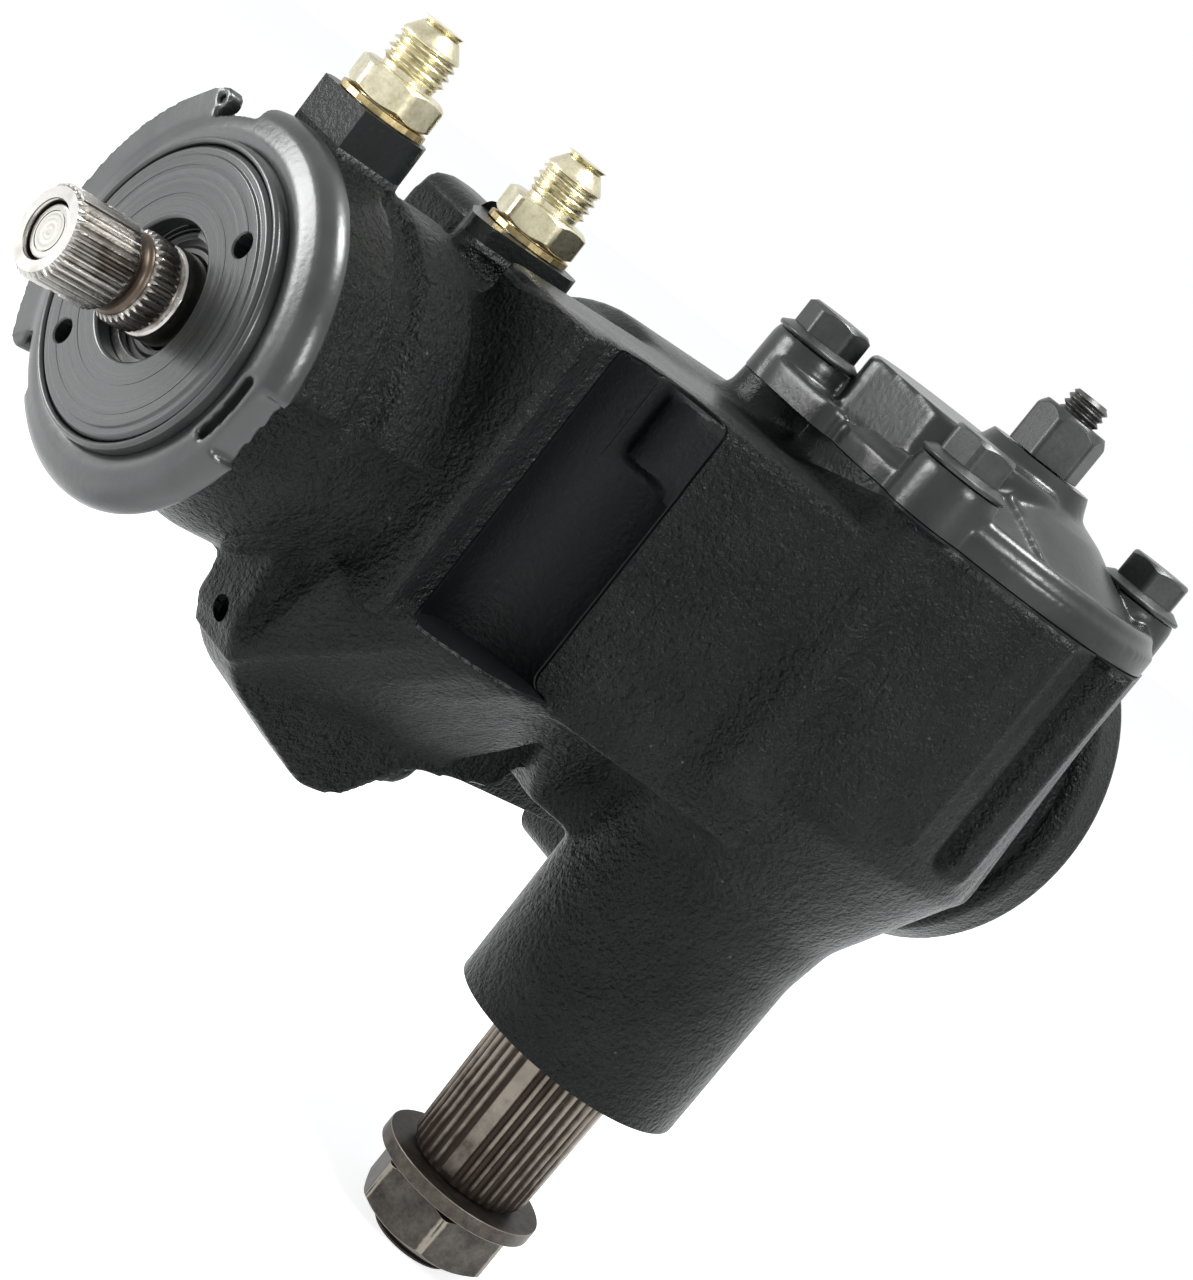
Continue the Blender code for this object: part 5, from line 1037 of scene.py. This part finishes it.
def locknut():
    inner = PLUG_R + PLAY
    front = PLUG_FACE + 0.6
    rim = PLUG_FACE + 5.5
    back = CASE_FRONT - PLAY
    body = turned([(back, inner + 1), (rim - 2.0, inner + 1), (rim - 2.4, inner + 3.0),
                   (rim - 2.6, inner + 4.6),
                   (rim - 1.4, LOCK_RIM_R - 2.4), (rim + 0.6, LOCK_RIM_R - 0.5), (rim + 2.6, LOCK_RIM_R),
                   (back - 1.0, LOCK_RIM_R), (back, LOCK_RIM_R - 0.8)], "x", WORM_AXIS, 144, 1.2)
    around = Matrix.Translation((0, WORM_Y * MM, 0))
    for first, last in ((-61, -40), (53, 74)):
        outline = arc(37.6, first, last) + arc(50, last, first)
        cut(body, prism(outline, rim - 6, back + 1, "x"))
    for degrees, floor_r in ((188, 38.4), (310, 39.2)):
        notch = prism([(rim - 5, floor_r), (back + 1, floor_r), (back + 1, 46), (rim - 5, 46)], -7.5, 7.5)
        cut(body, moved(notch, around @ Matrix.Rotation(radians(degrees), 4, "X")))
    slot = prism(arc(34.4, 176, 200) + arc(36.6, 200, 176), rim - 6, rim + 1.0, "x")
    cut(body, slot)
    lay_in(body, *flat_sector(rim))
    melt(body, 0.6, 2)
    lip = turned([(front + 4.5, inner), (front + 0.4, inner), (front - 0.2, inner + 0.7),
                  (front + 0.4, inner + 1.5), (front + 4.5, inner + 1.8)], "x", WORM_AXIS, 144, 0.4)
    lay_in(body, lip)
    return settle(body, "locknut_stamping", "housing", "locknut_black_paint",
                  ["adjuster_locknut"], 45)


def adjuster_plug():
    bore = 14.6
    groove = bore + 1.2
    profile = [(PLUG_FACE, bore + 0.5), (PLUG_FACE, 27.6), (PLUG_FACE + 0.5, 27.8), (PLUG_FACE + 0.5, 29.2),
               (PLUG_FACE + 1.3, PLUG_R), (PLUG_REAR - 0.3, PLUG_R), (PLUG_REAR - 0.3, STUB_R + 1.4),
               (PLUG_REAR - 4, STUB_R + 1.4), (PLUG_REAR - 4, bore), (PLUG_FACE + 5.4, bore),
               (PLUG_FACE + 5.4, groove), (PLUG_FACE + 3.6, groove), (PLUG_FACE + 3.6, bore),
               (PLUG_FACE + 0.5, bore)]
    body = turned(profile, "x", WORM_AXIS, 144, 0.25)
    holes = []
    for degrees in (128.5, 308.5):
        centre = round_worm(SPANNER_R * cos(radians(degrees)), SPANNER_R * sin(radians(degrees)))
        holes.append(turned([(PLUG_FACE - 2, 0), (PLUG_FACE - 2, 4.7), (PLUG_FACE + 0.3, 2.5),
                             (PLUG_FACE + 6, 2.5), (PLUG_FACE + 6, 0)], "x", centre, 40))
    for radius in (19.4, 25.2):
        holes.append(turned([(PLUG_FACE - 1, radius), (PLUG_FACE + 0.08, radius),
                             (PLUG_FACE + 0.08, radius + 0.25),
                             (PLUG_FACE - 1, radius + 0.25)], "x", WORM_AXIS, 144))
    for hole in holes:
        cut(body, hole)
    return settle(body, "turned_plug", "housing", "adjuster_plug_black",
                  ["adjuster_plug"])


def plug_ring_and_seal():
    low, high = PLUG_FACE + 3.9, PLUG_FACE + 5.1
    ring = turned([(low, 12.6), (low, 15.5), (high, 15.5), (high, 12.6)], "x", WORM_AXIS, 96, 0.3)
    wedge = [(0, 0), (20, 6.5), (22, 12), (13, 19), (5, 19.5)]
    cut(ring, prism([round_worm(u, v) for u, v in wedge], low - 1, high + 1, "x"))
    settle(ring, "plug_snap_ring", "housing", "retaining_ring_spring_steel", ["plug_retaining_ring"])
    low = PLUG_FACE + 5.7
    seal = turned([(low, 9.9), (low, 11.0), (low + 0.7, 11.6), (low + 0.7, 13.2), (low, 13.8), (low, 14.3),
                   (low + 1.5, 14.3), (low + 1.5, 9.9)], "x", WORM_AXIS, 96, 0.2)
    settle(seal, "dust_seal_lips", "housing", "seal_rubber", ["input_dust_seal"])


def turn_to_x(piece):
    """Lay a bar drawn along z down the worm axis."""
    return moved(piece, Matrix.Translation((0, WORM_Y * MM, 0)) @ Matrix.Rotation(pi / 2, 4, "Y"))


def cross_pin(radius, reach):
    pin = rod(-reach, reach, radius, "z", (0, 0), 40, 0.4)
    place = Matrix.Translation(((STUB_TIP + 7.3) * MM, WORM_Y * MM, 0))
    return moved(pin, place @ Matrix.Rotation(radians(-10), 4, "X"))


def input_shaft():
    first_end = STUB_TIP + 15.5
    neck_end = first_end + 3.6
    second_end = PLUG_FACE - 0.5
    root = STUB_R - 1.1
    body = turned([(STUB_TIP + 0.8, 0), (STUB_TIP + 0.8, root), (first_end + 0.4, root),
                   (first_end + 1.1, 7.9),
                   (neck_end - 1.1, 7.9), (neck_end - 0.4, root), (second_end + 0.4, root),
                   (second_end + 0.9, STUB_R), (-139, STUB_R), (-139, 11), (-94, 11), (-94, 0)],
                  "x", WORM_AXIS, 96, 0.5)
    for low, high in ((STUB_TIP, first_end), (neck_end, second_end)):
        bar = ridged_bar(low, high, STUB_R, STUB_R, 0.85, Sides=432, Rows=14, Teeth=36, Land=0.22, Slope=0.42,
                         Chamfer=1.0)
        join(body, turn_to_x(bar))
    blank = arc(STUB_R - 0.05, 48, 112, 24) + arc(STUB_R - 2, 112, 48, 24)
    join(body, prism(blank, STUB_TIP + 0.7, first_end - 0.7, "x"))
    cut(body, turned([(STUB_TIP - 2, 0), (STUB_TIP - 2, 6.2), (STUB_TIP + 0.3, 6.2), (STUB_TIP + 0.6, 6.0),
                      (STUB_TIP + 14, 5.95), (STUB_TIP + 14, 4.2), (-90, 4.2), (-90, 0)], "x", WORM_AXIS, 64))
    cut(body, cross_pin(2.3, STUB_R + 3))
    settle(body, "serrated_input_shaft", "input", "input_shaft_bare_steel",
           ["stub_shaft"], 30)
    bar = turned([(STUB_TIP + 0.9, 0), (STUB_TIP + 0.9, 5.2), (STUB_TIP + 1.3, 5.65), (STUB_TIP + 12.5, 5.6),
                  (STUB_TIP + 13.5, 3.2), (-56, 3.2), (-56, 0)], "x", WORM_AXIS, 64, 0.4)
    cut(bar, turned([(STUB_TIP, 3.9), (STUB_TIP + 1.25, 3.9), (STUB_TIP + 1.25, 4.15), (STUB_TIP, 4.15)],
                    "x", WORM_AXIS, 64), cross_pin(2.3, STUB_R + 3))
    settle(bar, "torsion_bar_end", "input", "torsion_bar_spring_steel",
           ["torsion_bar"])
    settle(cross_pin(2.0, STUB_R - 1.0), "cross_pin", "input", "pin_steel",
           ["torsion_bar_pin"])


# Sector end: splined shaft, split washer and nut

def copy_of(node):
    """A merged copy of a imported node, drawn in the housing's frame again."""
    piece = link("copy", frame["nodes"][node].data.copy())
    moved(piece, Matrix.Translation(-SHIFT))
    work = bmesh.new()
    work.from_mesh(piece.data)
    bmesh.ops.remove_doubles(work, verts=work.verts, dist=0.001 * MM)
    work.to_mesh(piece.data)
    work.free()
    return piece


def sector_end():
    body = copy_of("sector_shaft")
    cut(body, far_box("z", SPLINE_TOP + 6, -1))
    neck = turned([(SHAFT_TIP + 12, 0), (SHAFT_TIP + 12, 10.3), (SPLINE_BOTTOM, 10.3), (SPLINE_BOTTOM, 13.2),
                   (SPLINE_TOP, 14.6), (SPLINE_TOP + 3, 17.4), (SPLINE_TOP + 7, 17.4), (SPLINE_TOP + 7, 0)],
                  "z", (0, 0), 96)
    splines = ridged_bar(SPLINE_BOTTOM, SPLINE_TOP + 1, 15.0, 15.9, 0.95, Sides=504, Rows=20, Teeth=36,
                         Land=0.24, Slope=0.4, Broad_Every=9, Chamfer=1.1)
    moved(splines, Matrix.Rotation(radians(23), 4, "Z"))
    end_thread = thread(SHAFT_TIP, SPLINE_BOTTOM + 1, 11.0, 1.6)
    lay_in(body, neck, splines, end_thread)
    settle(body, "splined_sector_shaft", "sector", "sector_shaft_steel",
           ["sector_shaft"], 30)
    low = NUT_TOP + 0.3
    washer = turned([(low, 11.4), (low, 20.3), (low + 3.6, 20.3), (low + 3.6, 11.4)], "z", (0, 0), 120)
    cut(washer, prism([(8, -0.8), (24, 0.4), (24, 2.0), (8, 0.8)], low - 1, low + 5))
    bevel(washer, 0.5, 30, 3)
    edge_mask(washer)
    settle(washer, "split_washer", "sector", "lock_washer_phosphate",
           ["arm_lock_washer"])
    nut = hex_head(NUT_BOTTOM, NUT_TOP, 31.5, 1.9, 1.6, True, radians(50))
    cut(nut, turned([(NUT_BOTTOM - 2, 0), (NUT_BOTTOM - 2, 13.3), (NUT_BOTTOM + 0.3, 11.3),
                     (NUT_TOP + 1, 11.3), (NUT_TOP + 1, 0)], "z", (0, 0), 64))
    bevel(nut, 0.35)
    edge_mask(nut)
    settle(nut, "arm_nut_dressed", "sector", "arm_nut_phosphate", ["arm_nut"])


# Port fittings and the cylinder's rear end

def port_fitting(x, seat, name, node):
    low = seat - 8.5
    base = seat + 1.8
    top = base + 6.4
    nose = base + 17.6
    body = turned([(low, 0), (low, 5.9), (low + 0.8, 6.7), (base + 0.5, 6.7), (base + 0.5, 7.4),
                   (top - 0.5, 7.4),
                   (top, 5.7), (nose - 3.9, 5.7), (nose - 3.6, 6.5), (nose - 3.0, 6.3), (nose - 0.6, 4.5),
                   (nose, 4.1), (nose, 0)], "z", (0, 0), 72, 0.35)
    head = bevel(hex_head(base, top, 17.5, 1.2, 1.6, True, radians(8)), 0.3)
    ridges = thread(top + 0.9, nose - 3.2, 6.65, 1.75, 0.95, 72)
    lay_in(body, head, ridges)
    cut(body, turned([(low - 1, 0), (low - 1, 3.4), (nose - 0.3, 3.4), (nose + 1, 4.6), (nose + 1, 0)], "z",
                     (0, 0), 40))
    moved(body, Matrix.Translation((x * MM, PORT_Y * MM, 0)))
    return settle(body, name, "housing", "fitting_gold_zinc", [node])


def rear_end():
    low = COLLAR_FRONT + 1.5
    high = CASE_REAR - 4.9
    plug = turned([(low, 0), (low, 37), (low + 0.8, 37.8), (low + 3, 37.8), (low + 3, 35.4),
                   (low + 5.8, 35.4),
                   (low + 5.8, 37.8), (high, 37.8), (high, 28), (high - 2.5, 26), (high - 2.5, 9),
                   (high - 1.4, 7), (high - 1.4, 0)], "x", WORM_AXIS, 128, 0.5)
    settle(plug, "rear_plug_turned", "housing", "end_plug_cast", ["cylinder_end_plug"])
    clip = CASE_REAR - 4.6
    ring = turned([(clip, 35.2), (clip, 40), (clip + 2, 40), (clip + 2, 35.2)], "x", WORM_AXIS, 128, 0.3)
    wedge = [(0, 0)] + [(52 * cos(radians(a)), 52 * sin(radians(a))) for a in (180, 190, 200, 210, 220)]
    cut(ring, prism([round_worm(u, v) for u, v in wedge], clip - 1, clip + 3, "x"))
    settle(ring, "rear_snap_ring", "housing", "retaining_ring_spring_steel", ["end_retaining_ring"])


cast_housing()
cover_casting()
cover_bolts()
lash_adjuster()
locknut()
adjuster_plug()
plug_ring_and_seal()
input_shaft()
sector_end()
port_fitting(*PORTS[0], "front_port_fitting", "pressure_fitting")
port_fitting(*PORTS[1], "rear_port_fitting", "return_fitting")
rear_end()


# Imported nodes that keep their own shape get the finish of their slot

def dress_nodes():
    for row in frame["record"]["subparts"]:
        node = frame["nodes"][row["node"]]
        node.data.materials.clear()
        node.data.materials.append(FINISHES[row["material_slot"]])


dress_nodes()


# Camera, floor and light

def camera():
    data = bpy.data.cameras.new("camera")
    data.sensor_fit = "HORIZONTAL"
    data.sensor_width = 36.0
    data.lens = 90.667
    seat = bpy.data.objects.new("camera", data)
    right = Vector((0.6171269, -0.4949293, 0.6117184))
    up = Vector((-0.3325535, 0.5405196, 0.7728175))
    back = right.cross(up)
    turn = Matrix((right, up, back)).transposed().to_4x4()
    seat.matrix_world = Matrix.Translation((-0.5597002, -0.5033562, 0.1456633)) @ turn
    bpy.context.scene.collection.objects.link(seat)
    bpy.context.scene.camera = seat


def seen(web):
    """1 for what the camera sees directly, in a mirror or through glass."""
    rays = web.tree.nodes.new("ShaderNodeLightPath")
    direct, gloss, glass = [Wire(web, rays.outputs[k]) for k in
                            ("Is Camera Ray", "Is Glossy Ray", "Is Transmission Ray")]
    return direct.high(gloss).high(glass)


def surroundings():
    world = bpy.data.worlds.new("studio")
    world.use_nodes = True
    web = Web(world.node_tree)
    dim = web.node("ShaderNodeBackground", None, {"Color": (0.9, 0.95, 1.0, 1), "Strength": 0.45})
    white = web.node("ShaderNodeBackground", None, {"Color": (1, 1, 1, 1), "Strength": 1.0})
    mixed = web.node("ShaderNodeMixShader", None, {0: seen(web), 1: dim, 2: white})
    web.feed(world.node_tree.nodes["World Output"].inputs[0], mixed)
    bpy.context.scene.world = world


def floor_disc():
    drop = (SHAFT_TIP * MM + SHIFT.z) / MM
    disc = turned([(drop - 2, 0), (drop - 2, 3000), (drop - 0.2, 3000), (drop - 0.2, 0)], "z", (0, 0), 96)
    disc.name = "studio_floor"
    material = bpy.data.materials.new("pale_floor")
    material.use_nodes = True
    web = Web(material.node_tree)
    shader = material.node_tree.nodes["Principled BSDF"]
    shader.inputs["Base Color"].default_value = (0.8, 0.8, 0.8, 1)
    shader.inputs["Roughness"].default_value = 0.9
    shader.inputs["Specular IOR Level"].default_value = 0.0
    glow = web.node("ShaderNodeEmission", None, {"Color": (1, 1, 1, 1), "Strength": seen(web) * 0.62})
    both = web.node("ShaderNodeAddShader", None, {0: Wire(web, shader.outputs[0]), 1: glow})
    web.feed(material.node_tree.nodes["Material Output"].inputs[0], both)
    disc.data.materials.append(material)


def softbox(name, place, aim, wide, high, power, tint=(1, 1, 1)):
    data = bpy.data.lights.new(name, "AREA")
    data.shape = "RECTANGLE"
    data.size = wide
    data.size_y = high
    data.energy = power
    data.color = tint
    lamp = bpy.data.objects.new(name, data)
    lamp.location = place
    lamp.rotation_euler = (Vector(aim) - Vector(place)).to_track_quat("-Z", "Y").to_euler()
    bpy.context.scene.collection.objects.link(lamp)


MIDDLE = (-0.1, -0.05, 0.03)
camera()
surroundings()
floor_disc()
softbox("overhead_softbox", (0.1, -0.25, 1.1), MIDDLE, 0.35, 0.35, 17)
softbox("left_softbox", (-0.95, 0.55, 0.25), MIDDLE, 0.4, 0.4, 11)
softbox("front_softbox", (-0.25, -1.1, 0.45), MIDDLE, 0.3, 0.2, 7)

scene = bpy.context.scene
scene.view_settings.view_transform = "Standard"
scene.render.film_transparent = False
